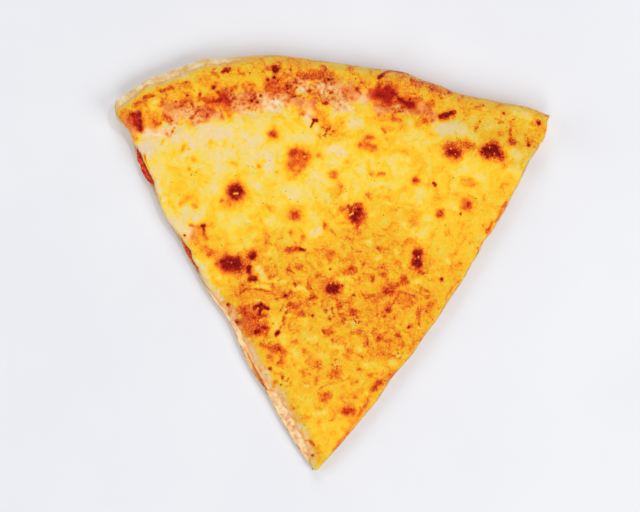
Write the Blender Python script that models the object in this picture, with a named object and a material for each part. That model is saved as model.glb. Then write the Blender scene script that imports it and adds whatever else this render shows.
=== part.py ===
"""A slice of cheese pizza, one sixth of a 16 inch pie, lying on its flat base.

The slice is three solids that lie one on another and run through to the cut sides: the dough,
which is a flat base and a puffed rim, the tomato sauce, and the melted cheese.

Units are metres. +Z is up and +Y runs from the tip to the crust. The origin is on the surface
that the slice lies on, under the middle of its outline.

A place on the slice is given by its reach, which is its distance from the middle of the pie, and
by its side, which is -1 on the left cut, 0 half-way across and 1 on the right cut.
"""

from dataclasses import dataclass
from math import pi, radians

import bmesh
import bpy
import numpy as np

MM = 0.001

# The pie and the way it was cut
PIE_RADIUS = 203 * MM
HALF_ANGLE = radians(30.7)
LEFT_SPREAD = radians(4.0)  # the soft slice spreads towards its tip, most on the right
RIGHT_SPREAD = radians(8.8)
TIP_REACH = 1.6 * MM  # the cutter leaves the tip blunt
TIP_FLARE, TIP_FLARE_LENGTH = radians(9), 18 * MM
TIP_CALM = 20 * MM  # the cuts don't wander nearer to the tip than this
OUTLINE_MIDDLE = (1 * MM, 101.2 * MM)  # from the middle of the pie
CUT_WAVE, CUT_WAVE_LENGTH = 0.8 * MM, 17 * MM
CUT_NOTCHES = (  # side, reach, depth, half length; the last one is a bulge
    (-1, 188 * MM, 2.2 * MM, 6 * MM),
    (-1, 84 * MM, 2.0 * MM, 11 * MM),
    (1, 139 * MM, 1.3 * MM, 5 * MM),
    (1, 197 * MM, -1.6 * MM, 9 * MM),
)

# The outer edge of the crust: side, and how far it lies past the pie's radius in mm
CRUST_LINE = ((-1, 2), (-0.75, 4.4), (-0.35, 1.6), (0.1, -4.8), (0.55, -6.6), (0.8, -0.8), (1, 4.6))
CRUST_WAVE, CRUST_WAVE_LENGTH = 0.6 * MM, 19 * MM

# The rim, measured inwards from the outer edge
RIM_HEIGHT = 13 * MM
RIM_CREST = 8 * MM
RIM_WIDTH = 26 * MM
RIM_WAIST = 5.5 * MM  # height at which the rim is widest
RIM_UNDERCUT = 3.5 * MM
RIM_PUFF, RIM_PUFF_LENGTH = 1.6 * MM, 34 * MM

# A bubble in the rim that swells up and out
BUBBLE_SIDE = 0.31
BUBBLE_INSET = 9 * MM
BUBBLE_RADIUS = 13 * MM
BUBBLE_RISE = 3 * MM
BUBBLE_BULGE, BUBBLE_BULGE_LENGTH = 2.8 * MM, 10.4 * MM

# The layers
BASE_THICKNESS = 4.4 * MM
TIP_THICKNESS = 3.2 * MM
THICKENING_LENGTH = 90 * MM  # from the tip
BASE_UNEVEN, BASE_UNEVEN_LENGTH = 0.35 * MM, 40 * MM
SAUCE_THICKNESS = 0.9 * MM
SAUCE_EDGE = 14 * MM  # inwards from the crust's outer edge
SAUCE_OVERLAP = (4 * MM, 1 * MM)  # the cheese comes down past the sauce's edge between these
CHEESE_THICKNESS = 2.6 * MM
CHEESE_FILM = 0.8 * MM  # what is left of the cheese on top of the rim
CHEESE_LUMP, CHEESE_LUMP_LENGTH = 0.5 * MM, 13 * MM
GAP = 0.3 * MM  # between two layers
RIM_GAP = 0.6 * MM  # the same on the steep rim

# How far each layer stays inside the right cut
DOUGH_RIGHT, SAUCE_RIGHT, CHEESE_RIGHT = 0.4 * MM, 1.0 * MM, 0.6 * MM
# and inside the left one, where the cutter dragged the topping back: reach and inset in mm
DOUGH_LEFT = ((0, 0.6), (60, 1.2), (110, 1.4), (150, 0.8), (203, 0.3))
SAUCE_LEFT = ((0, 2.0), (60, 2.0), (110, 0.8), (140, 0.6), (158, 0.1), (172, -0.4), (182, 0.8), (203, 1.5))
CHEESE_LEFT = ((0, 3.5), (20, 4.6), (60, 3.2), (110, 3.4), (140, 2.2), (160, 3.0), (203, 1.8))
# and inside the outer edge of the crust, which is barest at its left end
CHEESE_CRUST = ((-1, 5), (-0.8, 6.5), (-0.6, 6), (-0.4, 2.4), (-0.2, 2), (1, 2))  # side, and mm

# An inset at a cut fades over this share of the width near the tip, and near the crust over one
# column of the mesh, and it shrinks to nothing in the last stretch of the tip
TIP_FADE = 1.6
TIP_TAPER = 8 * MM

# Fineness of the meshes: rows run across the slice, and columns from the tip to the crust
CREST_ROWS, SLOPE_ROWS, BASE_ROWS = 5, 6, 20
COLUMNS, RIM_COLUMN_CUTS = 18, 2


def mix(a, b, share):
    return a + (b - a) * share


def ease(low, high, x):
    """0 up to low, 1 from high on, and smooth between them."""
    share = np.clip((x - low) / (high - low), 0, 1)
    return share * share * (3 - 2 * share)


def curve(points, x):
    """Height at x of the smooth curve through a few points."""
    xs, ys = np.array(points, float).T
    slopes = np.gradient(ys, xs)
    x = np.clip(x, xs[0], xs[-1])
    i = np.clip(np.searchsorted(xs, x) - 1, 0, len(xs) - 2)
    step = xs[i + 1] - xs[i]
    t = (x - xs[i]) / step
    start = ys[i] * (1 + 2 * t) * (1 - t) ** 2 + slopes[i] * step * t * (1 - t) ** 2
    end = ys[i + 1] * t * t * (3 - 2 * t) - slopes[i + 1] * step * t * t * (1 - t)
    return start + end


def lumps(x, y, length, seed):
    """Smooth uneven relief from about -1 to 1, with humps about length across."""
    turns = np.random.default_rng(seed).uniform(0, 2 * pi, (64, 64))
    x, y = np.broadcast_arrays(x / length + 32.0, y / length + 32.0)
    column, row = np.floor(x).astype(int), np.floor(y).astype(int)

    def slope(across, up):
        turn = turns[(column + across) % 64, (row + up) % 64]
        return np.cos(turn) * (x - column - across) + np.sin(turn) * (y - row - up)

    right, top = ease(0, 1, x - column), ease(0, 1, y - row)
    low, high = mix(slope(0, 0), slope(1, 0), right), mix(slope(0, 1), slope(1, 1), right)
    return 1.6 * mix(low, high, top)  # so that the humps reach about 1


def cut_angles(reach):
    """Angles of the left and the right cut from the centre line, both positive."""
    near_tip = np.clip(1 - reach / PIE_RADIUS, 0, 1)
    left = HALF_ANGLE + LEFT_SPREAD * near_tip**0.5
    right = HALF_ANGLE + RIGHT_SPREAD * near_tip**0.75
    flare = TIP_FLARE * np.exp(-reach / TIP_FLARE_LENGTH)
    wave = CUT_WAVE * ease(0, TIP_CALM, reach)
    left = left + flare + wave * lumps(reach, 0, CUT_WAVE_LENGTH, 3) / reach
    right = right + flare + wave * lumps(reach, 0, CUT_WAVE_LENGTH, 5) / reach
    for side, middle, depth, half_length in CUT_NOTCHES:
        notch = depth * np.exp(-(((reach - middle) / half_length) ** 2)) / reach
        left, right = (left - notch, right) if side < 0 else (left, right - notch)
    return left, right


def side_of(reach, angle):
    left, right = cut_angles(reach)
    return 2 * (angle + left) / (left + right) - 1


def crust_reach(side):
    """Reach of the outer edge of the crust."""
    arc = side * HALF_ANGLE * PIE_RADIUS
    bubble_arc = BUBBLE_SIDE * HALF_ANGLE * PIE_RADIUS
    bulge = BUBBLE_BULGE * np.exp(-(((arc - bubble_arc) / BUBBLE_BULGE_LENGTH) ** 2))
    wave = CRUST_WAVE * lumps(arc, 0, CRUST_WAVE_LENGTH, 7)
    return PIE_RADIUS + MM * curve(CRUST_LINE, side) + bulge + wave


def dough_top(reach, angle):
    """Height of the upper face of the dough."""
    side = side_of(reach, angle)
    inset = np.maximum(crust_reach(side) - reach, 0)
    x, y = reach * np.sin(angle), reach * np.cos(angle)
    base = mix(TIP_THICKNESS, BASE_THICKNESS, ease(0, THICKENING_LENGTH, reach))
    base = base + BASE_UNEVEN * lumps(x, y, BASE_UNEVEN_LENGTH, 11)
    crest = RIM_HEIGHT + RIM_PUFF * lumps(side * HALF_ANGLE * PIE_RADIUS, 0, RIM_PUFF_LENGTH, 13)
    outside = np.clip((RIM_CREST - inset) / RIM_CREST, 0, 1)
    outer_face = RIM_WAIST + (crest - RIM_WAIST) * np.sqrt(1 - outside**2)
    inner_face = mix(crest, base, ease(RIM_CREST, RIM_WIDTH, inset))
    arc = (side - BUBBLE_SIDE) * HALF_ANGLE * reach
    bubble = np.clip(1 - (arc**2 + (inset - BUBBLE_INSET) ** 2) / BUBBLE_RADIUS**2, 0, 1)
    return np.where(inset < RIM_CREST, outer_face, inner_face) + BUBBLE_RISE * bubble**1.5


def gap_at(inset):
    """Gap between two layers, which is wider where they are steep."""
    return mix(RIM_GAP, GAP, ease(SAUCE_EDGE, RIM_WIDTH, inset))


def sauce_low(reach, angle):
    inset = crust_reach(side_of(reach, angle)) - reach
    return dough_top(reach, angle) + gap_at(inset)


def sauce_top(reach, angle):
    return sauce_low(reach, angle) + SAUCE_THICKNESS


def cheese_low(reach, angle):
    """Over the sauce, and past the sauce's edge down to the dough."""
    inset = crust_reach(side_of(reach, angle)) - reach
    start, end = SAUCE_OVERLAP
    over_sauce = ease(SAUCE_EDGE - start, SAUCE_EDGE - end, inset)
    return mix(dough_top(reach, angle), sauce_top(reach, angle), over_sauce) + gap_at(inset)


def cheese_top(reach, angle):
    inset = crust_reach(side_of(reach, angle)) - reach
    x, y = reach * np.sin(angle), reach * np.cos(angle)
    thickness = mix(CHEESE_FILM, CHEESE_THICKNESS, ease(RIM_CREST, RIM_WIDTH + 4 * MM, inset))
    lump = CHEESE_LUMP * lumps(x, y, CHEESE_LUMP_LENGTH, 19) * thickness / CHEESE_THICKNESS
    return cheese_low(reach, angle) + thickness + lump


@dataclass(frozen=True)
class Layer:
    """One piece of the slice: its faces, and how far it stays inside the cuts and the crust's edge."""

    name: str
    colour: tuple
    roughness: float
    low: callable
    top: callable
    left: callable
    right: callable
    crust: callable
    first_row: float
    wall_rows: int


def inset_curve(points, unit=1.0):
    return lambda x: MM * curve(points, x / unit)


def same(inset):
    return lambda x: inset + 0 * x


DOUGH = Layer(
    name="dough",
    colour=(0.84, 0.58, 0.27),
    roughness=0.75,
    low=lambda reach, angle: 0 * reach,
    top=dough_top,
    left=inset_curve(DOUGH_LEFT, MM),
    right=same(DOUGH_RIGHT),
    crust=same(0),
    first_row=0,
    wall_rows=3,
)
SAUCE = Layer(
    name="tomato_sauce",
    colour=(0.55, 0.06, 0.02),
    roughness=0.35,
    low=sauce_low,
    top=sauce_top,
    left=inset_curve(SAUCE_LEFT, MM),
    right=same(SAUCE_RIGHT),
    crust=same(0),
    first_row=SAUCE_EDGE,
    wall_rows=1,
)
CHEESE = Layer(
    name="melted_cheese",
    colour=(0.93, 0.52, 0.06),
    roughness=0.3,
    low=cheese_low,
    top=cheese_top,
    left=inset_curve(CHEESE_LEFT, MM),
    right=same(CHEESE_RIGHT),
    crust=inset_curve(CHEESE_CRUST),
    first_row=0,
    wall_rows=2,
)


def spot(layer, across, row, inside=1.0, undercut=0.0):
    """Reach and angle of a place on a layer, given as a share across it and a row.

    A row's number is its inset from the outer edge. A layer that starts further in has its first
    rows closer together. inside is the share of the layer's insets at the cuts that counts, and
    undercut takes in the crust's edge.
    """
    side = 2 * across - 1
    tip = TIP_REACH * (0.5 + 0.5 * side**2)
    reach = np.maximum(PIE_RADIUS - row, tip)
    for _ in range(3):  # the outer edge depends on the side, and the side on the reach
        left, right = cut_angles(reach)
        taper = np.minimum(1, reach / TIP_TAPER) * inside / reach
        fade = mix(TIP_FADE, 2 / COLUMNS, ease(TIP_CALM, PIE_RADIUS - RIM_WIDTH, reach))
        at_left = np.clip(1 - (1 + side) / fade, 0, 1)
        at_right = np.clip(1 - (1 - side) / fade, 0, 1)
        angle = mix(-left, right, across)
        angle = angle + taper * (at_left * layer.left(reach) - at_right * layer.right(reach))
        place = side_of(reach, angle)
        start = layer.crust(place) + undercut
        inset = start + row * np.maximum(1 - start / RIM_WIDTH, 0)
        inset = np.where(row < RIM_WIDTH, inset, row)
        share = (PIE_RADIUS - inset) / PIE_RADIUS
        reach = mix(tip, crust_reach(place), np.clip(share, 0, 1))
    return reach, angle


def row_insets(first):
    """Insets of the rows from the crust's outer edge, close together on the rim."""
    insets = np.concatenate([
        RIM_CREST * (1 - np.cos(np.linspace(0, pi / 2, CREST_ROWS + 1))),
        np.linspace(RIM_CREST, RIM_WIDTH, SLOPE_ROWS + 1)[1:],
        np.linspace(RIM_WIDTH, PIE_RADIUS, BASE_ROWS + 1)[1:],
    ])
    return np.append(first, insets[insets > first + GAP])


def shape(layer, across, row, depth):
    """Positions of a layer's points, from depth 0 on its upper face to 1 on its lower face."""
    reach, angle = spot(layer, across, row)
    height = mix(layer.top(reach, angle), layer.low(reach, angle), depth)
    if layer is DOUGH:  # its walls slope, and its edge is round
        reach, angle = spot(layer, across, row, 1 - depth, RIM_UNDERCUT * depth**2)
    x, y = reach * np.sin(angle), reach * np.cos(angle)
    return np.stack([x - OUTLINE_MIDDLE[0], y - OUTLINE_MIDDLE[1], height], axis=1)


def build(layer):
    """A slab between the layer's two faces: a grid, thickened, then moved to its place."""
    bm = bmesh.new()
    insets = row_insets(layer.first_row)
    bmesh.ops.create_grid(bm, x_segments=COLUMNS, y_segments=len(insets) - 1, size=0.5)
    across = bm.verts.layers.float.new("across")
    row = bm.verts.layers.float.new("row")
    depth = bm.verts.layers.float.new("depth")
    for vertex in bm.verts:
        vertex[across] = vertex.co.x + 0.5
        vertex[row] = insets[round((vertex.co.y + 0.5) * (len(insets) - 1))]
    crossing = [
        edge for edge in bm.edges
        if max(vertex[row] for vertex in edge.verts) < RIM_WIDTH + GAP
        and edge.verts[0][row] == edge.verts[1][row]
    ]
    bmesh.ops.subdivide_edges(bm, edges=crossing, cuts=RIM_COLUMN_CUTS, use_grid_fill=True)
    made = bmesh.ops.extrude_face_region(bm, geom=bm.faces[:], use_keep_orig=True)
    for vertex in made["geom"]:
        if isinstance(vertex, bmesh.types.BMVert):
            vertex[depth] = 1
    uprights = [edge for edge in bm.edges if edge.verts[0][depth] != edge.verts[1][depth]]
    if layer.wall_rows > 1:
        bmesh.ops.subdivide_edges(bm, edges=uprights, cuts=layer.wall_rows - 1, use_grid_fill=True)
    bmesh.ops.triangulate(bm, faces=bm.faces[:], quad_method="FIXED")  # alike in every layer
    shares = np.array([(v[across], v[row], v[depth]) for v in bm.verts])
    for vertex, position in zip(bm.verts, shape(layer, *shares.T)):
        vertex.co = position
    bm.normal_update()
    bmesh.ops.dissolve_limit(bm, angle_limit=radians(0.05), verts=bm.verts, edges=bm.edges)
    bmesh.ops.recalc_face_normals(bm, faces=bm.faces)
    mesh = bpy.data.meshes.new(layer.name)
    bm.to_mesh(mesh)
    bm.free()
    mesh.shade_smooth()
    mesh.set_sharp_from_angle(angle=radians(50))
    return bpy.data.objects.new(layer.name, mesh)


def food_material(layer):
    material = bpy.data.materials.new(layer.name)
    material.use_nodes = True
    shader = material.node_tree.nodes["Principled BSDF"]
    shader.inputs["Base Color"].default_value = (*layer.colour, 1)
    shader.inputs["Roughness"].default_value = layer.roughness
    shader.inputs["Metallic"].default_value = 0
    return material


def main():
    for leftover in list(bpy.data.objects):
        bpy.data.objects.remove(leftover)
    slice_parts = bpy.data.collections.new("cheese_pizza_slice")
    bpy.context.scene.collection.children.link(slice_parts)
    for layer in (DOUGH, SAUCE, CHEESE):
        piece = build(layer)
        piece.data.materials.append(food_material(layer))
        slice_parts.objects.link(piece)


main()
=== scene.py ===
"""The looks of a cheese pizza slice: baked dough, tomato sauce and browned melted cheese.

Lengths are in millimetres until a mesh is made. The frame is the CAD model's: the slice lies on
z = 0 with its tip towards -Y. As there, a place on the slice is given by its reach, which is its
distance from the middle of the pie, and by its side, from -1 on the left cut to 1 on the right.

Each layer is one closed mesh that stands for its CAD solid. Its points carry a few numbers, such
as how far it is baked, which the materials turn into colour and gloss. On the cheese that number
also holds painted highlights, where gleams and glints are set pale.
"""

from math import cos, pi, radians, sin

import bpy
import numpy as np
from mathutils import Euler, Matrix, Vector

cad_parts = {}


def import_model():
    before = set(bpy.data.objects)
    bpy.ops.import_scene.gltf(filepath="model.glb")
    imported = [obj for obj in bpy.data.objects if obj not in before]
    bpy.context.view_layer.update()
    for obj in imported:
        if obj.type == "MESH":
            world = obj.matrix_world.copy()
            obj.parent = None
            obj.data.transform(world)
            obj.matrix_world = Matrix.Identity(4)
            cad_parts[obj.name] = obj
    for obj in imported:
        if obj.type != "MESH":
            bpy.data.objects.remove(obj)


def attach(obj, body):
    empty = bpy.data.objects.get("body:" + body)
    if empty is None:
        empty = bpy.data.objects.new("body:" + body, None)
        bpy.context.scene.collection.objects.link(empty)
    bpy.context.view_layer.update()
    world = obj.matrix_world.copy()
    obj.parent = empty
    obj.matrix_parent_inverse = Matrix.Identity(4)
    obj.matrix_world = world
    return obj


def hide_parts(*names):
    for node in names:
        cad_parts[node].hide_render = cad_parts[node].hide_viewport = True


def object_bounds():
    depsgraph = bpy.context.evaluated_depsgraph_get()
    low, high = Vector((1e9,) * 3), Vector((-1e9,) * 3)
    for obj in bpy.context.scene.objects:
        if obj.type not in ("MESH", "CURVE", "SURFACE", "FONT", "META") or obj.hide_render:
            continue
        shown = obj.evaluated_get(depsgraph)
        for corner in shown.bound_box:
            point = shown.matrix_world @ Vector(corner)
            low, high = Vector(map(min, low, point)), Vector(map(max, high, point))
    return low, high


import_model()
CAD_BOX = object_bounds()
METRES = 0.001
BOX_LOW, BOX_HIGH = (np.array(corner) / METRES for corner in CAD_BOX)

# The pie, its cuts and its rim, as in the CAD model
PIE_RADIUS = 203
HALF_ANGLE = radians(30.7)
LEFT_SPREAD, RIGHT_SPREAD = radians(4.0), radians(8.8)
TIP_REACH = 1.6
TIP_FLARE, TIP_FLARE_LENGTH = radians(9), 18
TIP_CALM, TIP_FADE, RIM_FADE, TIP_TAPER = 20, 1.6, 0.11, 8
OUTLINE_MIDDLE = (1, 101.2)
CUT_WAVE, CUT_WAVE_LENGTH = 0.8, 17
CUT_NOTCHES = ((-1, 188, 2.2, 6), (-1, 84, 2.0, 11), (1, 139, 1.3, 5), (1, 197, -1.6, 9))
CRUST_LINE = ((-1, 2), (-0.75, 4.4), (-0.35, 1.6), (0.1, -4.8), (0.55, -6.6), (0.8, -0.8), (1, 4.6))
CRUST_WAVE, CRUST_WAVE_LENGTH = 0.6, 19
RIM_HEIGHT, RIM_CREST, RIM_WIDTH, RIM_WAIST, RIM_UNDERCUT = 13, 8, 26, 5.5, 3.5
RIM_PUFF, RIM_PUFF_LENGTH = 1.6, 34
BUBBLE_SIDE, BUBBLE_INSET, BUBBLE_RADIUS, BUBBLE_RISE = 0.31, 9, 13, 3
BUBBLE_BULGE, BUBBLE_BULGE_LENGTH = 2.8, 10.4
BASE_THICKNESS, TIP_THICKNESS, THICKENING_LENGTH = 4.4, 3.2, 90
BASE_UNEVEN, BASE_UNEVEN_LENGTH = 0.35, 40
SAUCE_THICKNESS, SAUCE_EDGE, SAUCE_OVERLAP = 0.9, 14, (4, 1)
CHEESE_THICKNESS, CHEESE_FILM = 2.6, 0.8
CHEESE_LUMP, CHEESE_LUMP_LENGTH = 0.5, 13
GAP, RIM_GAP = 0.3, 0.6
DOUGH_RIGHT, SAUCE_RIGHT, CHEESE_RIGHT = 0.4, 1.0, 0.6
DOUGH_LEFT = ((0, 0.6), (60, 1.2), (110, 1.4), (150, 0.8), (203, 0.3))

# How far the sauce and the cheese stay inside the left cut at a reach, in more detail than the
# solids: the sauce shows in two places, and a strip of bare dough along the last 110 mm to the tip
SAUCE_LEFT = (
    (0, 7), (20, 7), (80, 6.4), (95, 4.6), (108, 3.4), (116, 1.6), (128, 1.2), (133, 2.4), (158, 2.6),
    (163, 0.6), (170, 0), (176, 0.4), (180, 2.2), (203, 3),
)
CHEESE_LEFT = (
    (0, 0.6), (6, 1.6), (14, 3.4), (25, 4.4), (40, 3.6), (48, 2.4), (56, 2.8), (70, 2.8), (82, 2.2),
    (90, 1.6), (98, 1.2), (109, 1.2), (117, 2.2), (130, 2.3), (136, 1.2), (156, 1.2), (162, 2.2),
    (170, 2.9), (177, 2.4), (182, 1.2), (203, 1.8),
)
CHEESE_CRUST = ((-1, 2.6), (-0.8, 2.2), (-0.6, 2.2), (-0.4, 1), (-0.2, 0.5), (1, 0.5))  # by side

# Small swellings of the crust's outer edge that the solids leave out: side, depth, half length
CRUST_BUMPS = ((-0.83, 1, 5), (-0.58, 1.2, 5), (0.2, 0.6, 6), (0.46, 1.7, 9), (0.9, 0.6, 8))

# The crust's steep outer wall shows what lies past the edge, so that no mark is drawn down it
WALL_UNROLL, WALL_INSET = 4, 2.2

# The edges of the cheese: the reaches between which the left one starts to thin out towards the tip,
# the widths of the lip, of the part that thins out and of the film's end on the rim, the thinnest
# that it gets, and how far the left edge sinks into the dough
DRAG_REACH = (115, 95)
LIP_WIDTH, DRAG_WIDTH, FILM_WIDTH = 1.6, 7.5, 5
THINNEST_CHEESE, LEFT_SINKS = 0.12, 0.8

# The reaches between which the milky face of the cheese at the left cut fades out at the rim
CUT_FACE_REACH = (186, 178)

# Distances between a layer's points: along the reach, across its upper and across its lower face
DOUGH_SPACING, SAUCE_SPACING, CHEESE_SPACING = (0.75, 0.85, 1.3), (1.1, 1.1, 6), (0.515, 0.515, 9)
# How many points there are from top to bottom of its wall, and from the dough's edge to its crest
DOUGH_WALL, SAUCE_WALL, CHEESE_WALL, DOUGH_RIM = 15, 5, 4, 22

CUTS_APART = 400  # in the noise that varies along them

# The camera, straight above, and the level plane through the outline
CAMERA_X, CAMERA_Y, CAMERA_HEIGHT = -3.2, 4.0, 610
CAMERA_TURN = radians(2.5)
FOCAL_LENGTH, SENSOR_WIDTH = 70, 36
CLIP_START, CLIP_END = 0.05, 20  # in metres
OUTLINE_HEIGHT = 4

# The lights, each a disc that faces the slice: name, place, size across, power and colour
COOL_WHITE = (0.96, 0.98, 1)
LIGHTS = (
    ("key", (1600, -700, 1500), 1300, 21.5, (1, 0.985, 0.96)),
    ("sparkle", (850, 500, 2100), 90, 8, (1, 1, 1)),
    ("left", (-1900, 100, 1200), 1500, 13, COOL_WHITE),
    ("front", (0, -1800, 1700), 1500, 20, COOL_WHITE),
    ("back", (-100, 1900, 1500), 1500, 19, COOL_WHITE),
)
SKY_COLOUR, SKY_STRENGTH = (0.97, 0.98, 1.0), 0.27
FLOOR_REACH, FLOOR_DROP = 3000, 0.02

# How far the cheese is baked, from 0 for white and melted to 1 for charred
WHITE, CREAM, ORANGE, RUSSET, BROWN, CRIMSON, CHAR = 0.1, 0.2, 0.65, 0.8, 0.88, 0.93, 1.0
# The same for its fine pale spots, the halo of a mark and the film's bare end on the rim
MILKY, HALO, FILM_END = 0.36, 0.7, 0.28
# The most that the ground between marks and its grains are baked, and from where marks blister
GROUND_LIMIT, GRAIN_LIMIT, BLISTER_FROM = 0.84, 0.86, 0.62

# The tables below give places as the camera sees them on a level plane through the outline. A
# round mark is x, y and its half width, and a stroke is its two ends and its half width.

# The baking of each part of the cheese before its spots: x, y, half width, and how far it is baked
BAKED_ZONES = (
    # along the left cut
    (-88, 57, 6, 0.16), (-80, 47, 6, 0.38), (-84, 38, 4, 0.24), (-75, 36, 7, 0.44), (-70, 18, 6, 0.24),
    (-62, 12, 6, 0.5), (-58, 2, 6, 0.5), (-60, -3, 4, 0.32), (-52, -9, 6, 0.42), (-44, -14, 7, 0.58),
    (-42, -24, 6, 0.58), (-31, -33, 7, 0.62), (-28, -48, 6, 0.52), (-20, -52, 8, 0.5),
    (-16, -64, 7, 0.5),
    # the pale middle
    (-68, 49, 7, 0.36), (-71, 60, 7, 0.2), (-58, 50, 5, 0.25), (-50, 60, 8, 0.26), (-45, 52, 6, 0.32),
    (-32, 64, 6, 0.3), (-30, 54, 7, 0.28), (-63, 38, 6, 0.42), (-55, 35, 4, 0.2), (-42, 44, 6, 0.33),
    (-38, 37, 5, 0.24), (-26, 44, 6, 0.27), (-30, 31, 7, 0.44), (-18, 37, 6, 0.28), (-10, 42, 5, 0.26),
    (-10, 52, 5, 0.36), (-12, 32, 5, 0.38), (-54, 24, 5, 0.44), (-44, 21, 6, 0.34), (-36, 14, 7, 0.48),
    (-24, 8, 6, 0.58), (-34, 5, 5, 0.54), (-36, -6, 6, 0.6), (-28, 20, 5, 0.34), (-20, 24, 5, 0.52),
    (-10, 20, 6, 0.42), (0, 25, 5, 0.48), (-18, 13, 5, 0.46), (4, 63, 7, 0.5), (4, 54, 5, 0.36),
    (3, 47, 4, 0.28), (13, 50, 6, 0.34), (10, 38, 5, 0.38), (4, 36, 4, 0.54), (22, 42, 6, 0.42),
    (25, 36, 5, 0.52), (26, 26, 5, 0.5), (-3, 3, 9, 0.5), (5, 17, 5, 0.42), (12, 8, 6, 0.57),
    (19, 15, 6, 0.56), (28, 18, 5, 0.56),
    # the yellow right
    (24, 60, 7, 0.44), (36, 58, 8, 0.48), (32, 49, 6, 0.36), (47, 50, 8, 0.46), (40, 38, 6, 0.42),
    (41, 25, 5, 0.56), (52, 25, 9, 0.45), (34, 12, 6, 0.54), (42, 16, 5, 0.46), (66, 40, 11, 0.45),
    (50, 60, 6, 0.42), (76, 50, 9, 0.42), (82, 34, 8, 0.52), (66, 14, 10, 0.49), (50, 0, 12, 0.55),
    (28, -3, 12, 0.62),
    # the orange lower half
    (10, -16, 12, 0.67), (-18, -4, 11, 0.58), (-20, -15, 7, 0.74), (-8, -16, 7, 0.74),
    (10, -21, 6, 0.72), (40, -14, 7, 0.67), (31, -30, 7, 0.68), (10, 10, 5, 0.66), (-15, -24, 9, 0.57),
    (-3, -27, 5, 0.57), (8, -34, 13, 0.56), (30, -31, 11, 0.61), (42, -22, 8, 0.58),
    (0, -50, 12, 0.54), (20, -53, 11, 0.54), (3, -66, 9, 0.52), (11, -80, 8, 0.44), (-4, -84, 7, 0.46),
    (1, -93, 5, 0.56), (-1, -99, 3, 0.42),
    # the bare crust's end of the film, and the film on the rim
    (-99, 73, 3, 0.4), (-92, 81, 3, 0.4), (-82, 86.5, 3, 0.42), (-72, 90, 3, 0.4), (-62, 93, 3.5, 0.4),
    (-97, 66, 5, 0.6), (-88, 74, 5, 0.57), (-80, 79, 6, 0.55), (-68, 82, 6, 0.56), (-57, 86, 6, 0.53),
    (-45, 91, 7, 0.54), (-32, 96, 6, 0.54), (-20, 96, 7, 0.56), (-4, 95, 7, 0.5), (10, 92, 7, 0.51),
    (24, 93, 5, 0.53), (34, 89, 6, 0.6), (45, 86, 6, 0.55), (60, 81, 8, 0.54), (76, 78, 8, 0.55),
    (90, 70, 7, 0.52), (99, 68, 5, 0.62), (104, 77, 4, 0.56), (98, 62, 4, 0.5),
    # the slope inside the rim
    (-86, 67, 4, 0.62), (-77, 67, 4, 0.5), (-70, 71, 5, 0.54), (-62, 76, 4, 0.66), (-48, 81, 5, 0.6),
    (-46, 75, 4, 0.52), (-38, 84, 4, 0.62), (-38, 77, 4, 0.44), (-27, 82, 4, 0.6), (-27, 75, 5, 0.42),
    (-38, 68, 6, 0.34), (-18, 68, 9, 0.32), (-18, 75, 4, 0.46), (-8, 75, 5, 0.52), (1, 76, 4, 0.44),
    (-14, 90, 4, 0.62), (-14, 80, 4, 0.54), (0, 87, 6, 0.6), (0, 80, 4, 0.55), (-4, 64, 4, 0.54),
    (13, 80, 5, 0.36), (9, 73, 6, 0.36), (21, 76, 5, 0.52), (27, 85, 4, 0.68), (34, 76, 5, 0.54),
    (47, 74, 5, 0.66), (58, 68, 6, 0.24), (72, 66, 5, 0.3), (82, 68, 5, 0.4), (88, 60, 6, 0.3),
    (46, 66, 6, 0.38), (22, 66, 6, 0.48),
    # its red streaks
    (-76, 76.5, 3, 0.7), (-70, 77, 3, 0.72), (-62, 77, 3, 0.76), (-59, 73, 2, 0.72),
    (-53, 82, 3, 0.68), (-53, 77, 2, 0.76), (-66, 72, 3, 0.5), (-50, 74, 3, 0.56), (-84, 74, 4, 0.64),
    (-41, 82, 3, 0.68), (-30, 86, 3.5, 0.78), (-24, 90, 3, 0.74), (-21, 83, 2.5, 0.74),
    (-12, 91, 3.5, 0.77), (-2, 90, 3, 0.7), (-1, 84, 3, 0.64), (12, 84, 3, 0.6), (24, 84, 3.5, 0.74),
    (36, 81, 3, 0.74), (47, 78, 3, 0.74), (30, 90, 3, 0.7), (-96, 65, 2.5, 0.74),
)

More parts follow.
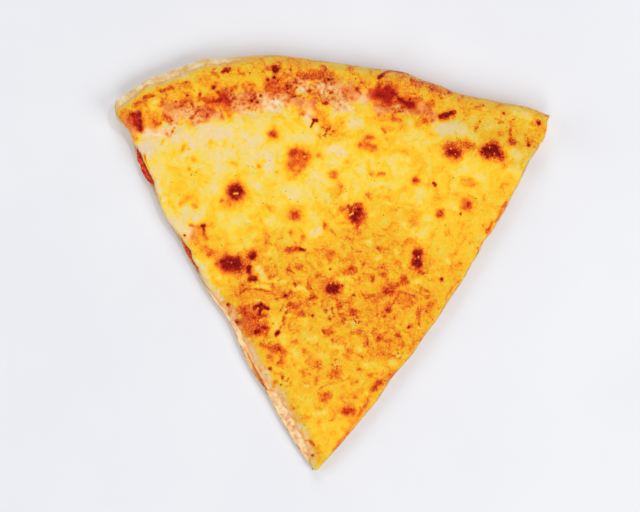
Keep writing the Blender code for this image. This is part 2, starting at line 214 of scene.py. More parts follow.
# Spots by how far they are baked
SPOTS = {
    CHAR: (
        (-45.4, 33.4, 3.3), (-48, -1.8, -44.4, -1.8, 3), (-36.2, 2.6, 1.6),
        (-37.5, -3, -37.6, -5, 0.9), (-36.2, -8.6, -34.6, -8.6, 1.1), (12.8, 23.8, 2), (14.2, 27, 1.6),
        (76, 58.4, 78.4, 59.4, 2.6), (58.2, 57.4, 60.6, 57, 1.7), (79.8, 58.6, 81, 57.4, 1.2),
        (44.2, 7.4, 1.7), (44.3, 2.8, 2.1), (2.8, -11.4, 4.4, -11.4, 2.1), (-28.8, 94.2, 1.4),
        (-93.8, 65.6, -93.2, 61.8, 0.8), (-97.6, 68.8, 0.7), (-94.4, 69, 1),
        (20.8, 83.8, 23.4, 83.6, 0.7), (28.2, 85.2, 30.2, 84.2, 0.7), (31.4, 82, 34.4, 81.2, 0.5),
        (34.6, 80.8, 36.6, 79.4, 0.5), (38, 79.4, 1.2), (37, 82.2, 0.5), (52.4, 74.4, 55, 75, 0.9),
        (55, 75, 59, 76.8, 0.7), (100.4, 73.2, 0.9), (21.9, 92, 23.4, 93.8, 0.7),
        (-54.4, 91.4, -53.4, 92.8, 0.6), (-53.4, 92.8, -51.6, 92.8, 0.8), (-51.8, 91.4, 0.4),
        (-34, -22.6, -31, -20.6, 0.7), (-31, -21, -31.4, -25.6, 0.7), (-29.6, -22, -27.4, -22.6, 0.8),
        (-33, -34.4, -31.6, -33.8, 0.8), (-22.8, -35, -21.8, -34, 0.8), (-10.2, 66.8, -9, 69.8, 0.45),
        (-9, 70.2, -7.4, 69.6, 0.5), (-61.4, 16, -60.4, 16, 0.7), (50.2, 41.9, 51.6, 41, 0.45),
        (-13.4, 7.2, -11, 6.6, 0.55),
    ),
    CRIMSON: (
        (-96.2, 67.6, -94.2, 63.2, 1.4), (-53.6, 78.6, -51.8, 77, 1.6), (21.4, 84.2, 27.6, 84.4, 2.2),
        (26.2, 86, 26.6, 80.6, 1.9), (32, 82, 38, 79, 1.1), (-58, 77.2, -55, 77.4, 0.8),
    ),
    BROWN: (
        (58.2, 57.8, 60.6, 57.4, 2.6), (79.5, 60, 82.6, 56.4, 2), (87, 63.4, 88.4, 63.2, 1.3),
        (35.6, 80.2, 38.6, 78.8, 1.3), (14.8, 23.6, 12.8, 26.2, 2.7), (14.4, 27.4, 1.8),
        (30.4, -11.6, 31.8, -11.4, 1.9), (2.6, -63.8, 3.8, -63.6, 1.3), (-4.6, -86.6, -3.6, -87, 0.5),
        (46.5, -1.9, 0.8), (6.8, -10.2, 8.8, -9.6, 0.5), (23, -6.6, 23, -5.4, 0.8), (14.3, -22.5, 1.4),
        (31, -20.9, 1), (25.7, -23.3, 0.6), (2.8, -26, 0.9), (13, -71, 15.6, -70.8, 1.8),
        (26, -59.5, 28.6, -55.8, 1.1), (-3.8, -87, -2.4, -88.4, 0.7), (-12.8, 52.4, 1.8),
        (-18, 53.8, 1.7), (-28.4, 62.2, 1.9), (-16, 23, 1.8), (-31.6, -31, -28.4, -32, 1.3),
        (-30.4, -26.4, -28.4, -26.4, 0.7), (-23.4, -41.4, -21, -42.2, 1),
        (-39.6, -24.2, -38, -25.6, 0.8), (-35.4, -27.4, -33, -27, 0.9), (41.8, 43, 1.4),
        (38.2, -6.8, 38.2, -5.4, 1.2), (67.4, 32.2, 2.1), (54.4, 27.3, 1.5), (-18.6, 6, -15, 7.2, 1.2),
        (-53.6, -2.2, -50.6, -2.6, 0.7), (-4.8, 79.2, -3.4, 78.2, 0.8), (-1.6, 83.8, 0.9),
        (-31.8, 86.2, 1), (-30, 87.4, 0.5), (-27.2, 84, 1), (-24.8, 84.2, -23.4, 85, 0.6),
        (-21.2, 83, 0.8), (-19.8, 82.3, 0.8), (-12.6, 83.8, -11.2, 84.6, 0.5), (-68.4, 68.8, 0.9),
        (-86.2, 64.8, 1.7), (-81.2, 68.2, 1.5), (-53, 95.8, -49.6, 97, 0.5),
        (-49.6, 97, -47.4, 97.4, 0.4), (-58.9, 93.1, 0.8), (22, 87, 0.7), (27.4, 88.6, 0.7),
        (23.4, 93.8, 26, 95.6, 0.5), (26, 95.6, 29.5, 96.4, 0.4), (29.5, 96.4, 34, 95.8, 0.4),
        (37.6, 91.4, 0.9), (53.8, 85.4, 0.6), (45.3, 71.8, 0.8), (45.6, 75, 0.4),
        (-60.4, 15.4, -60, 12, 0.6), (83, 77.4, 0.5), (-60.6, 69.9, 0.6), (-84, 80.6, -78.8, 83, 0.7),
        (-92, 77.4, -87.6, 78.6, 0.6), (-39.6, 78.3, 0.7), (11.2, 86, 0.6),
        (-40.4, -15.2, -38, -13.3, 0.4),
    ),
    RUSSET: (
        (-5, 66.6, -2.6, 65.6, 0.5), (-3.2, 63.8, -0.6, 63.2, 0.5), (0.4, 64.8, 0.6), (-44, 76.6, 0.5),
        (-41, 74.6, 0.4), (-97.4, 67.6, -94.8, 62.6, 1.9), (-57, 76, -54, 76.4, 1),
        (-53.8, 79.4, -51.4, 76.4, 1.9), (-30, 84.6, -26.6, 84.6, 2.1), (-14, 91, -7.6, 92, 1.5),
        (30, 82.2, 35, 81.2, 1.4), (-38, -26, -33, -28.6, 2), (-38, -33.6, -36.6, -35.6, 1.4),
        (-65, 78, -59, 77, 0.8), (-16.4, 47, -14.4, 51, 3), (-18, 52, 2.4), (-19.4, 47.4, 1.2),
        (57.6, 60.6, 61.8, 60.8, 1.8), (14.4, 59, 17, 59, 1.4), (18.2, 58.4, 20.4, 58.2, 1.6),
        (1.5, 44, 1.6), (20, 45, 0.9), (23.5, 45.2, 26, 45, 0.8), (19.3, 34.5, 0.9),
        (17.6, 63, 19.6, 63, 1), (65.4, 61.6, 68.4, 60.8, 1.4), (29.8, 72.2, 32.4, 71.8, 1),
        (-5.8, 53.2, 0.9), (-57.6, 2.4, -56.4, 3.2, 1.1), (-60.8, 4.6, 0.9),
        (-67, 16.4, -62, 15.6, 0.6), (-60, 11, -58.4, 9.6, 0.6), (-64, 6.6, 0.6), (1.8, 5.5, 1.5),
        (-14.5, -2.2, -12.5, -1.8, 1), (-4, -5.6, -2, -5.4, 0.8), (-1.7, 18, -1.6, 19.6, 0.9),
        (2.1, 16.7, 0.7), (-17.5, 14.7, 0.8), (-11.5, 12.5, 0.9), (28, 1.7, 0.8),
        (26, -3.8, 28, -3.6, 0.6), (50.3, -14.2, 0.6), (47, -9.6, 49.8, -11, 0.7),
        (5.4, 27, 8.4, 28, 0.8), (-52, 29, 0.8), (-48.6, 27.4, 1.1), (-25.5, -12, 0.8),
        (-23.5, -18, 0.7), (-17, -19.5, -14, -21.6, 0.9), (17.6, -32.3, 1), (14.2, -32.7, 0.7),
        (0, -32.4, 2.5, -33, 0.9), (5, -36.7, 0.6), (12.8, -41.5, 0.9), (34.4, -24.4, 0.6),
        (7.8, -20, 0.8), (21.3, -28.7, 0.5), (34.2, -29.7, 0.5), (32, -36, 0.7),
        (17.6, -50.4, 19.2, -50.2, 0.5), (24, -53.3, 0.6), (17.3, -56.3, 0.7),
        (5.6, -53.4, 7.2, -52.6, 1.5), (32.6, -55.5, 36, -51.6, 1.2), (23.4, -65, 18.6, -74, 0.5),
        (14.6, -81, 7.6, -90, 0.5), (-8.8, -88.4, -6.4, -86.4, 0.5), (-6.4, -86.4, -4.6, -86.4, 0.5),
        (-38, -29, -34, -31, 1.8), (1, -66, 0.7), (19.4, -72, 19.6, -69, 0.5),
        (-13.4, -71, -11.8, -70.6, 0.8), (-8.6, -42.6, 1), (-9, -53, 0.9), (-2.6, -58, -2.4, -56, 0.7),
        (-25.4, -46.2, 1), (-20.6, -48.8, 0.5), (-22.4, -58.6, 0.9), (-38, -26, -33, -29, 2.2),
        (-39, -31, -31, -34, 1.9), (-37.6, -33.6, -36.6, -36, 1.3), (-41, -23.2, -37.6, -23.6, 1),
        (-30, -40.4, -25, -42, 0.9), (-22, -41.4, -19, -43.4, 1.4), (-20, -45, -19.6, -48, 0.7),
        (-19.3, -29.6, -19.7, -26.4, 0.5), (-19.6, -30, -21.4, -33, 0.4),
        (-25.4, -10.6, -25.6, -13.4, 0.4), (-27.6, -7.8, -25, -7, 0.7), (-38, -13.3, -31, -13.7, 0.35),
        (-31, -13.7, -25.6, -14.2, 0.35), (36, -11.5, 43, -13.5, 0.5), (31.6, -20.8, 36, -12.5, 0.4),
        (-41, -3, -38.6, -3, 1.2), (-38, -0.6, -37.4, -1.6, 0.7), (-73, 75.8, -70, 76.2, 0.7),
        (-60.4, 73.4, -58, 72, 1.1), (-76, 73.6, -73, 74, 0.7), (-96.4, 73.6, -92, 76.6, 0.9),
        (-78.8, 65.2, 0.7), (-73, 85.4, -70.5, 86.2, 0.6), (-59.3, 90.8, -56.6, 89.6, 0.6),
        (-46.6, 91.4, -44.4, 91.2, 0.6), (-43, 96.8, -40.2, 96.5, 0.35), (-54, 81.8, -48.6, 83.8, 0.9),
        (-52, 73.2, 0.7), (-41.4, 85.8, -38.8, 86.2, 0.6), (-40, 83, -39.8, 81, 0.7), (-46, 91.3, 0.6),
        (-34.8, 92.7, 0.6), (-32.2, 94.4, 0.8), (-24.4, 91.6, 1.1), (-21.5, 94.3, 0.7),
        (-30, 84.6, 1.8), (-13, 90.2, -8, 91.6, 1.2), (-8, 94, -7, 93, 0.7), (-16.6, 81.2, 0.7),
        (-22, 78.8, 0.6), (-14.8, 72.8, 0.8), (-90.6, 49, -89.4, 43, 0.6),
        (-87.6, 38.6, -85.4, 37.8, 0.5), (-3, 92.4, -1, 93, 0.7), (-1, 89.2, 1, 89, 0.6),
        (4.7, 85.2, 0.7), (9, 81.3, 0.7), (13, 89.3, 14.5, 89, 0.7), (12, 84.8, 13, 84, 0.5),
        (17.8, 84.8, 0.8), (20.4, 84.6, 29, 85.2, 2), (27, 89, 28, 87, 1.2), (22.6, 74, 0.7),
        (30, 76.4, 34, 77.4, 0.6), (41.5, 76.5, 1), (40.2, 80.6, 39.6, 78, 0.8),
        (40, 89.8, 42.4, 90.2, 1.1), (35, 89, 0.6), (48.4, 88.6, 50.4, 86.8, 1.9),
        (46.2, 80, 47.4, 76.8, 0.9), (48.3, 82, 48.9, 80.6, 0.5), (53, 73.2, 59, 74.6, 0.9),
        (48.4, 72.3, 0.5), (69, 79.3, 71, 79.5, 0.6), (72, 80.4, 73.4, 80.7, 0.4),
        (80.6, 72.6, 83, 73.1, 0.45), (70, 69.3, 0.7), (86.2, 35, 84, 30, 0.4), (84, 30, 82, 24, 0.4),
        (79.8, 24, 77.6, 18.6, 0.5), (20, 97, 22, 97.3, 0.4), (24.4, 67.4, 26, 65.6, 0.5),
    ),
    ORANGE: (
        (-9, 76, -3.6, 70.6, 1.3), (-3.6, 70.6, 1, 65, 1.8), (-19.6, 78, -12, 78.4, 1.5),
        (-46, 78, -39, 76.6, 1.8), (-15.4, 73.6, 1.5), (-8, 80.4, -1, 81, 1.3), (68, 44, 1.1),
        (42, 24, 2.2), (-18.6, 48.4, 3), (-72, 26, -67, 30.4, 0.9), (-65, 25.6, 1.3),
        (-67.4, 48.4, 1.2), (-68.6, 43.4, 0.7), (-43, -16, -39, -16.4, 2.2), (25, -42, 29.5, -42, 2),
        (78, 67.6, 82, 67.4, 1.3), (-47.4, 47.6, -45.4, 46.6, 0.7), (-34.6, 46, 0.9),
        (-32.6, 48.8, 0.7), (-71.4, 55.4, -72.4, 52.6, 0.8), (-69, 53.4, 0.6), (-58, 57, 1.2),
        (-48, 55.6, 0.7), (-51, 27, -48, 31, 1.6), (-64, 10, -61, 13, 2), (9, 50, 1.4),
        (-29.6, 9, -30.4, 15, 1), (-22, 31.8, 0.8), (-26, 44, 0.8), (-1.6, -70.2, 1), (-0.3, -77, 1.1),
        (0, -90.4, -1, -93, 1.4), (11, -62.6, 1.1), (-2.6, -39.4, 0.8), (-3, -48.6, 1.2),
        (-12.8, -49.3, 0.8), (-42.4, 78, 1.5), (-88.4, 68.6, 1.8), (-82.4, 56.4, 0.8),
        (-80, 59.8, 0.8), (-77.8, 61.6, 0.8), (24, -63, 17.6, -76, 1), (17.6, -76, 9, -88, 1),
        (46.6, -33, 42, -41, 0.5), (-100.4, 69, -98.2, 62, 1), (-97.6, 58.6, -95.6, 57, 1.4),
        (-57.4, 77.8, -55.6, 77.4, 1.2), (33, 92.2, 31, 91.6, 0.6), (63.8, 78.6, 0.7),
    ),
}

# Pieces of cheese that melted late and stayed pale
PALE_PATCHES = {
    WHITE: (
        (-91.6, 59, -90.6, 55.8, 1.4), (-87, 58.4, -83.6, 57.6, 2.2), (-70, 60, -68.4, 53.6, 1.1),
        (-68.4, 53.6, -73, 48.8, 1.2), (-58.4, 59.6, -50, 62, 2.2), (-65.6, 19.4, -63.4, 19.6, 1.1),
        (-55.4, 34.4, 1.6), (-50.4, 36.8, 1), (-59, -8.6, -51.8, -17.4, 1.1),
        (-62.6, -1.4, -58.6, -5, 0.9), (-36.4, -41, -29.6, -51.6, 0.7), (-84, 34.4, -80, 28, 0.9),
        (-74, 17, -69, 12.6, 1.6), (-32.4, -3.2, -31, -6.4, 1), (-2, 32, 1.8), (10, 70, 2.8),
        (-12.2, 76.6, -10.6, 74.6, 1.3), (-12.6, 70.8, -10.8, 68.4, 0.9),
        (-7.3, 66.2, -7.1, 65.4, 1.2), (-38, 35.4, -36, 36.6, 1.6), (0, 56, 6, 54, 1.8),
        (-13.6, 88, -12, 87.4, 1.4), (-17.2, 84.4, -15.6, 83.8, 1.3), (-28, 78, -26, 75, 1.6),
        (-6, 86.4, -4, 84, 1.4), (-41, 72, -37.4, 72.6, 1.1), (-20, -68.6, -16, -74.6, 0.6),
        (-10.2, -80.2, 0.8), (-6.8, -88.6, 0.9), (-21.4, -63, 0.8), (52, 68.4, 63, 67.8, 1.9),
        (-92, 59.4, -84.6, 62.4, 1.6), (-82, 66, -78, 62, 1), (-7, 14.8, -3.6, 17.2, 1.4),
    ),
    CREAM: (
        (43.5, 31, 43.7, 38, 1.5), (64.5, 48, 64.8, 55, 1.6), (64, 67, 69, 65, 1.3), (-72, 60, 1.8),
        (-76, 48, 1.6), (-61, 33, 1.8), (-60, 50, -56, 53, 1.4), (-63, 45, -60, 42, 1.3),
        (-31, 76, -24, 74.4, 2.4), (-39, 71.6, 1.6), (14.6, 82, 13.4, 79.6, 1.6),
        (88.6, 79, 96, 76.2, 1.5), (77, 69, 1.6), (7.5, 34, 1.4), (13, 39, 1.4), (2, 48.5, 1.8),
        (15, 47, 1.6), (30.4, 53, 33.6, 53.4, 1.3), (37, 53, 1.2), (22, 40, 28, 40.4, 1.2),
        (21, 25, 1.8), (37, 21.5, 1.5), (72, 54, 1.4), (72.5, 46, 1.5), (86, 60, 92, 57, 1.8),
        (48, 24, 1.5), (42, 17.4, 46.4, 16.8, 2), (-44, 57, -36, 54, 2.6), (-40, 48, 1.8),
        (-25, 55, 1.8), (-24, 49, 1.8), (-21, 34, 2.2), (-30, 58, -26, 52, 1.4), (-9, 33, 1.8),
        (-9, 40, -4, 37, 1.4), (-6, 16, 2.2), (24.6, 4.4, 1.5), (6.4, -6.8, 13, -6.4, 1.3),
        (11.6, -11.5, 1.5), (38.5, 1.5, 1.1), (45, -6.5, 1.2), (-19, -36.4, -18.6, -38.8, 1.7),
        (-15, -45, 1.2), (-9.6, -28.6, 1.6), (-1.4, -44.5, 1.4, -44.5, 0.9), (5.6, -40, 8.8, -40, 0.8),
        (18.5, -40.5, 1.2), (21, -47.6, 25, -47.8, 0.6), (11, -54, 1), (-3, -72.8, 3, -72, 0.8),
        (-8, -79, -6.8, -82.6, 0.9), (-23.6, -29.2, -23.4, -31, 2.2), (22, -62, 1), (-62, 24, 1.8),
        (-47, 18, -40, 20, 1.6), (-52, 22, 1.6), (-36, 13, 1.6), (-43, 7, -38, 8, 1.3), (-28, 20, 2),
        (-27, 5, 1.8), (-45, 3.8, 1), (-30, -8.6, -20, -9.4, 0.9), (-35, -11, -26, -12.8, 0.5),
        (-53, -8, -49, -9, 1), (-8, 42, 2), (62, 30, 1.4), (34, 8, 1.2), (59, 4, 1.4), (2, -2, 1.1),
        (20, 12, 1.3), (34, -46, 1), (46, 62, 1.6), (29, 31, 1.3), (-15, -12, -10, -13, 0.8),
        (-20, -25.6, -16, -25.4, 0.5), (-7, -37, -4, -36, 0.7), (-87.4, 73.4, 1.4), (-86, 75.8, 0.9),
        (-85, 40, -82, 46, 1.5), (-26.8, -56.6, -24.6, -57.4, 0.9), (-14, -43.6, 1.2),
        (6, 77, 9, 76, 1.2),
    ),
}

# Fine pale and browned spots all over: seed, how many, and the least and the most half width
MILKY_FRECKLES, BROWN_FRECKLES = (37, 700, 0.6, 1.8), (31, 700, 0.4, 1.3)

# Where tomato and its oil stain the cheese
STAIN = 0.55
STAINS = (
    (-79, 72, -62, 71, 2.6), (-77.5, 68, -77, 66, 1.8), (-20, 78.6, -10, 77.6, 1.6),
    (-66, 67, -62, 68.5, 1.8), (-51, 79, -44, 76, 2.6), (-44, 80.5, -33, 80, 1.8),
    (-33, 79.5, -22, 79, 1.8), (-47, 74, -44, 72.5, 1.4), (-6, 87, 8, 84, 3), (-4, 81, 6, 79.4, 1.8),
    (-20, 88, -14, 89, 1.5), (-15, 86, -13, 84.6, 1.4), (22, 77, 28, 77.4, 1.8),
    (29, 79.5, 36, 77, 1.5), (38, 76.5, 43, 77.5, 1.6), (-13, 73, -9, 71, 1.4), (2, 76, 9, 76, 1.1),
    (-90, 61.4, -79, 60.6, 1.4), (44, 79, 49, 74, 1.5), (-26, 82, -21, 80.5, 1.3),
    (-68, 10, -66, 14, 1.4), (-46, -24, -41, -32, 1.6), (-9, -86, -5, -93, 1.3),
    (-100, 66, -96, 60, 1.2), (-38, 76, -30, 77, 2), (-60, 70, -55, 71, 1.6), (8, 84, 16, 82, 2),
)

# How far the dough is baked: its crust, the pale left end of it, under the sauce, and where it has
# browned folds along the left cut
CRUST_BAKE, PALE_CRUST_BAKE, BARE_BAKE, FOLD_BAKE = 0.52, 0.24, 0.14, 0.84
DOUGH_FOLDS = (
    (-36.6, -45, -33, -51.6, 0.6), (-33, -51.6, -29.4, -57.6, 0.9), (-29.4, -57.6, -26, -63.4, 1.1),
)

# Where the surface is broken and grainy, with dark browned grains and pale grains that are
# painted highlights: x, y, half width
GRAIN_AND_GLINT_ZONES = (
    (-40, 74, 5), (-27, 76, 6), (-38, 79, 4), (-17, 85, 6), (-4, 84, 7), (4, 80, 5), (-3, 64, 4),
    (-78, 64, 5), (-68, 71, 6), (-49, 78, 5), (3, -23, 3.5), (15, -27, 4.5), (7, -48, 2.6),
    (-19, -22, 3), (11, 28.5, 3.5), (37, -42, 3), (74, 14, 3), (33, 77, 4), (-8, -79, 3),
    (-17, -58, 4), (31, 78, 4),
)

# Painted highlights: wet gleams on the blisters and ridges, painted near white into the cheese's
# colour over a little raised relief
PAINTED_GLEAMS = (
    (-46.4, 32.4, -44.4, 32.8, 0.4), (10.5, 24.5, 12, 25.6, 0.35), (3.6, 28.6, 5, 29.4, 0.3),
    (-32.2, -22.8, 0.45), (-31, -28.6, -30.2, -28.2, 0.4), (-3.8, 81.4, -2.6, 83.8, 0.35),
    (6, 78.4, 7, 78.6, 0.5), (0.4, 82.6, 0.4), (2, 85, 0.4), (4.4, 83.2, 0.35),
    (2, -24.4, 3.4, -22.4, 0.35), (4.4, -23.2, 5, -22, 0.3), (7.6, -22.6, 9, -22.4, 0.3),
    (11, -28, 12, -27.6, 0.35), (14, -26.6, 15.4, -28.4, 0.35), (16.4, -27.4, 0.35),
    (6, -48.6, 8, -48.2, 0.35), (36.4, -43.4, 37.8, -42.4, 0.35), (22, -33, 23.4, -33.4, 0.3),
    (-19.4, -21.6, -18.6, -22.8, 0.35), (-17.6, -58.4, -16.2, -58.8, 0.35),
    (-7.8, -59.2, -6, -59.4, 0.35), (73.6, 15.6, 0.35), (74.2, 11.2, 0.35), (48.6, 45.2, 0.3),
    (45.6, -29.2, 46.6, -28.8, 0.3), (-12.8, -69, 0.5), (-33.4, -18.8, -31.6, -18.9, 0.4),
    (-21, -43.6, 0.35), (-46, -1, 0.35), (58, 59, 0.3), (60.4, 56.4, 0.3), (77, 60.4, 0.35),
    (79.4, 57.4, 0.3), (-12.8, 52, 0.4), (33.2, 76.8, 0.35), (-22.8, -19.6, 0.3), (2.6, -8.8, 0.3),
    (44.6, 5.6, 0.35),
)

# Burnt crumbs and bits of herb on the slice: x, y, half length. Finer ones make up the count.
FLECK_COUNT, FLECK_CORNERS = 170, 6
FLECKS = (
    (-58.5, 83.8, 0.75), (-56.3, 81.5, 0.5), (-55, 80.2, 0.4), (-65, 80, 0.5), (-71.1, 79.3, 0.45),
    (-76.6, 76.1, 0.4), (-68, 81.9, 0.3), (-41.3, 91.7, 0.4), (-24, 94.2, 0.3), (-32.3, 88.8, 0.6),
    (-29.3, 89.9, 0.6), (-27.4, 88.5, 0.4), (-23, 86.3, 0.5), (-18, 85.5, 0.4), (-39.8, 78, 0.6),
    (-38.2, 79.4, 0.5), (-37, 77.5, 0.6), (-35.4, 80.7, 0.5), (-29.1, 79.5, 0.4), (-2.8, 90, 0.5),
    (11.2, 86, 0.5), (22, 87.2, 0.5), (47.3, 87.6, 0.4), (56, 86.4, 0.5), (52.6, 83.3, 0.4),
    (83, 77.4, 0.45), (71.7, 72.9, 0.4), (95.9, 62.5, 0.6), (-69.5, 11.2, 0.45), (-19.2, -16.1, 0.7),
    (14, -14.4, 0.45), (2, -2.2, 0.45), (56.5, -4.8, 0.6), (26.8, 25.2, 0.3), (71.5, 35.3, 0.3),
    (64.3, 27.5, 0.45), (57, 21.7, 0.3), (-47, -21.6, 0.6), (-42.2, -30.1, 0.9), (-25.2, -52, 0.6),
    (-21.3, -48.8, 0.4), (-5.6, -25.2, 0.5), (-2.6, -93.6, 0.5), (41.6, -28.6, 0.5),
    (-2.4, -100.2, 0.4), (-97.4, 69, 0.5), (-19.5, -59.5, 0.35), (33, 28, 0.3), (60, 45, 0.3),
)


# ---------------------------------------------------------------- numbers

def mix(a, b, share):
    return a + (b - a) * share


def ease(low, high, x):
    """0 up to low, 1 from high on, and smooth between them."""
    share = np.clip((x - low) / (high - low), 0, 1)
    return share * share * (3 - 2 * share)


def bell(offset, width):
    """1 in the middle, and fading out at about a width from it."""
    return np.exp(-((offset / width) ** 2))


def curve(points, x):
    """Height at x of the smooth curve through a few points."""
    xs, ys = np.array(points, float).T
    slopes = np.gradient(ys, xs)
    x = np.clip(x, xs[0], xs[-1])
    i = np.clip(np.searchsorted(xs, x) - 1, 0, len(xs) - 2)
    step = xs[i + 1] - xs[i]
    t = (x - xs[i]) / step
    start = ys[i] * (1 + 2 * t) * (1 - t) ** 2 + slopes[i] * step * t * (1 - t) ** 2
    end = ys[i + 1] * t * t * (3 - 2 * t) - slopes[i + 1] * step * t * t * (1 - t)
    return start + end


def lumps(x, y, length, seed, cells=64):
    """Smooth uneven relief from about -1 to 1, with humps about length across."""
    turns = np.random.default_rng(seed).uniform(0, 2 * pi, (cells, cells))
    x, y = np.broadcast_arrays(x / length + cells / 2, y / length + cells / 2)
    column, row = np.floor(x).astype(int), np.floor(y).astype(int)

    def slope(across, up):
        turn = turns[(column + across) % cells, (row + up) % cells]
        return np.cos(turn) * (x - column - across) + np.sin(turn) * (y - row - up)

    right, top = ease(0, 1, x - column), ease(0, 1, y - row)
    low, high = mix(slope(0, 0), slope(1, 0), right), mix(slope(0, 1), slope(1, 1), right)
    return 1.6 * mix(low, high, top)


def rough(x, y, length, seed, octaves=3):
    """Relief with finer and finer humps, each turned, so that no grid shows.

    Each use of lumps or rough has a seed of its own, so that no two of them look alike.
    """
    total = 0
    for i in range(octaves):
        turn = seed + 0.9 * i
        u, v = x * cos(turn) - y * sin(turn), x * sin(turn) + y * cos(turn)
        total = total + 0.55**i * lumps(u, v, length * 0.5**i, seed + i, 256)
    return total


def drawn(x, y, length, reach, seed):
    """Places drawn aside by up to about reach, so that what is laid on them bends and frays."""
    return x + reach * rough(x, y, length, seed, 2), y + reach * rough(x, y, length, seed + 9, 2)


# ---------------------------------------------------------------- the shape of the slice

def cut_angles(reach):
    """Angles of the left and the right cut from the centre line, both positive."""
    near_tip = np.clip(1 - reach / PIE_RADIUS, 0, 1)
    left = HALF_ANGLE + LEFT_SPREAD * near_tip**0.5
    right = HALF_ANGLE + RIGHT_SPREAD * near_tip**0.75
    flare = TIP_FLARE * np.exp(-reach / TIP_FLARE_LENGTH)
    wave = CUT_WAVE * ease(0, TIP_CALM, reach)
    left = left + flare + wave * lumps(reach, 0, CUT_WAVE_LENGTH, 3) / reach
    right = right + flare + wave * lumps(reach, 0, CUT_WAVE_LENGTH, 5) / reach
    for side, middle, depth, half_length in CUT_NOTCHES:
        notch = depth * bell(reach - middle, half_length) / reach
        left, right = (left - notch, right) if side < 0 else (left, right - notch)
    return left, right


def side_of(reach, angle):
    left, right = cut_angles(reach)
    return 2 * (angle + left) / (left + right) - 1


def arc_of(side):
    """Length along the crust from the centre line."""
    return side * HALF_ANGLE * PIE_RADIUS


def crust_reach(side):
    """Reach of the outer edge of the crust."""
    arc = arc_of(side)
    bulge = BUBBLE_BULGE * bell(arc - arc_of(BUBBLE_SIDE), BUBBLE_BULGE_LENGTH)
    for bump_side, depth, half_length in CRUST_BUMPS:
        bulge = bulge + depth * bell(arc - arc_of(bump_side), half_length)
    return PIE_RADIUS + curve(CRUST_LINE, side) + bulge + CRUST_WAVE * lumps(arc, 0, CRUST_WAVE_LENGTH, 7)


def inset_of(reach, angle):
    """Distance inwards from the outer edge of the crust."""
    return crust_reach(side_of(reach, angle)) - reach


def dough_top(reach, angle):
    side = side_of(reach, angle)
    inset = np.maximum(crust_reach(side) - reach, 0)
    x, y = reach * np.sin(angle), reach * np.cos(angle)
    base = mix(TIP_THICKNESS, BASE_THICKNESS, ease(0, THICKENING_LENGTH, reach))
    base = base + BASE_UNEVEN * lumps(x, y, BASE_UNEVEN_LENGTH, 11)
    crest = RIM_HEIGHT + RIM_PUFF * lumps(arc_of(side), 0, RIM_PUFF_LENGTH, 13)
    outside = np.clip((RIM_CREST - inset) / RIM_CREST, 0, 1)
    outer_face = RIM_WAIST + (crest - RIM_WAIST) * np.sqrt(1 - outside**2)
    inner_face = mix(crest, base, ease(RIM_CREST, RIM_WIDTH, inset))
    arc = (side - BUBBLE_SIDE) * HALF_ANGLE * reach
    bubble = np.clip(1 - (arc**2 + (inset - BUBBLE_INSET) ** 2) / BUBBLE_RADIUS**2, 0, 1)
    return np.where(inset < RIM_CREST, outer_face, inner_face) + BUBBLE_RISE * bubble**1.5


def gap_at(inset):
    return mix(RIM_GAP, GAP, ease(SAUCE_EDGE, RIM_WIDTH, inset))


def sauce_top(reach, angle):
    return dough_top(reach, angle) + gap_at(inset_of(reach, angle)) + SAUCE_THICKNESS


def under_cheese(reach, angle):
    """Height of what the cheese lies on: the sauce, and past the sauce's edge the dough."""
    start, end = SAUCE_OVERLAP
    over_sauce = ease(SAUCE_EDGE - start, SAUCE_EDGE - end, inset_of(reach, angle))
    return mix(dough_top(reach, angle), sauce_top(reach, angle), over_sauce)


def cheese_top(reach, angle):
    inset = inset_of(reach, angle)
    x, y = reach * np.sin(angle), reach * np.cos(angle)
    thickness = mix(CHEESE_FILM, CHEESE_THICKNESS, ease(RIM_CREST, RIM_WIDTH + 4, inset))
    lump = CHEESE_LUMP * lumps(x, y, CHEESE_LUMP_LENGTH, 19) * thickness / CHEESE_THICKNESS
    return under_cheese(reach, angle) + gap_at(inset) + thickness + lump


def spot(across, row, left, right, crust):
    """Reach and angle of a place, given as a share across the slice and a row.

    A row's number is its inset from the outer edge. left and right give how far the layer stays
    inside the cuts at a reach, and crust how far it stays inside the outer edge at a side.
    """
    side = 2 * across - 1
    tip = TIP_REACH * (0.5 + 0.5 * side**2)
    reach = np.maximum(PIE_RADIUS - row, tip)
    for _ in range(4):  # the outer edge depends on the side, and the side on the reach
        left_cut, right_cut = cut_angles(reach)
        taper = np.minimum(1, reach / TIP_TAPER) / reach
        fade = mix(TIP_FADE, RIM_FADE, ease(TIP_CALM, PIE_RADIUS - RIM_WIDTH, reach))
        at_left = np.clip(1 - (1 + side) / fade, 0, 1)
        at_right = np.clip(1 - (1 - side) / fade, 0, 1)
        angle = mix(-left_cut, right_cut, across)
        angle = angle + taper * (at_left * left(reach) - at_right * right(reach))
        place = side_of(reach, angle)
        start = crust(place)
        inset = start + row * np.maximum(1 - start / RIM_WIDTH, 0)
        inset = np.where(row < RIM_WIDTH, inset, row)
        reach = mix(tip, crust_reach(place), np.clip((PIE_RADIUS - inset) / PIE_RADIUS, 0, 1))
    return reach, angle


def world(reach, angle):
    return reach * np.sin(angle) - OUTLINE_MIDDLE[0], reach * np.cos(angle) - OUTLINE_MIDDLE[1]


def polar(x, y):
    x, y = x + OUTLINE_MIDDLE[0], y + OUTLINE_MIDDLE[1]
    return np.hypot(x, y), np.arctan2(x, y)


def from_cuts(reach, angle):
    """Distances from the left and from the right cut."""
    left, right = cut_angles(reach)
    return (angle + left) * reach, (right - angle) * reach


def seen(x, y, height):
    """Where the camera sees a place on the level plane through the outline."""
    grow = (CAMERA_HEIGHT - OUTLINE_HEIGHT) / (CAMERA_HEIGHT - height)
    return CAMERA_X + grow * (x - CAMERA_X), CAMERA_Y + grow * (y - CAMERA_Y)


# ---------------------------------------------------------------- closed slabs

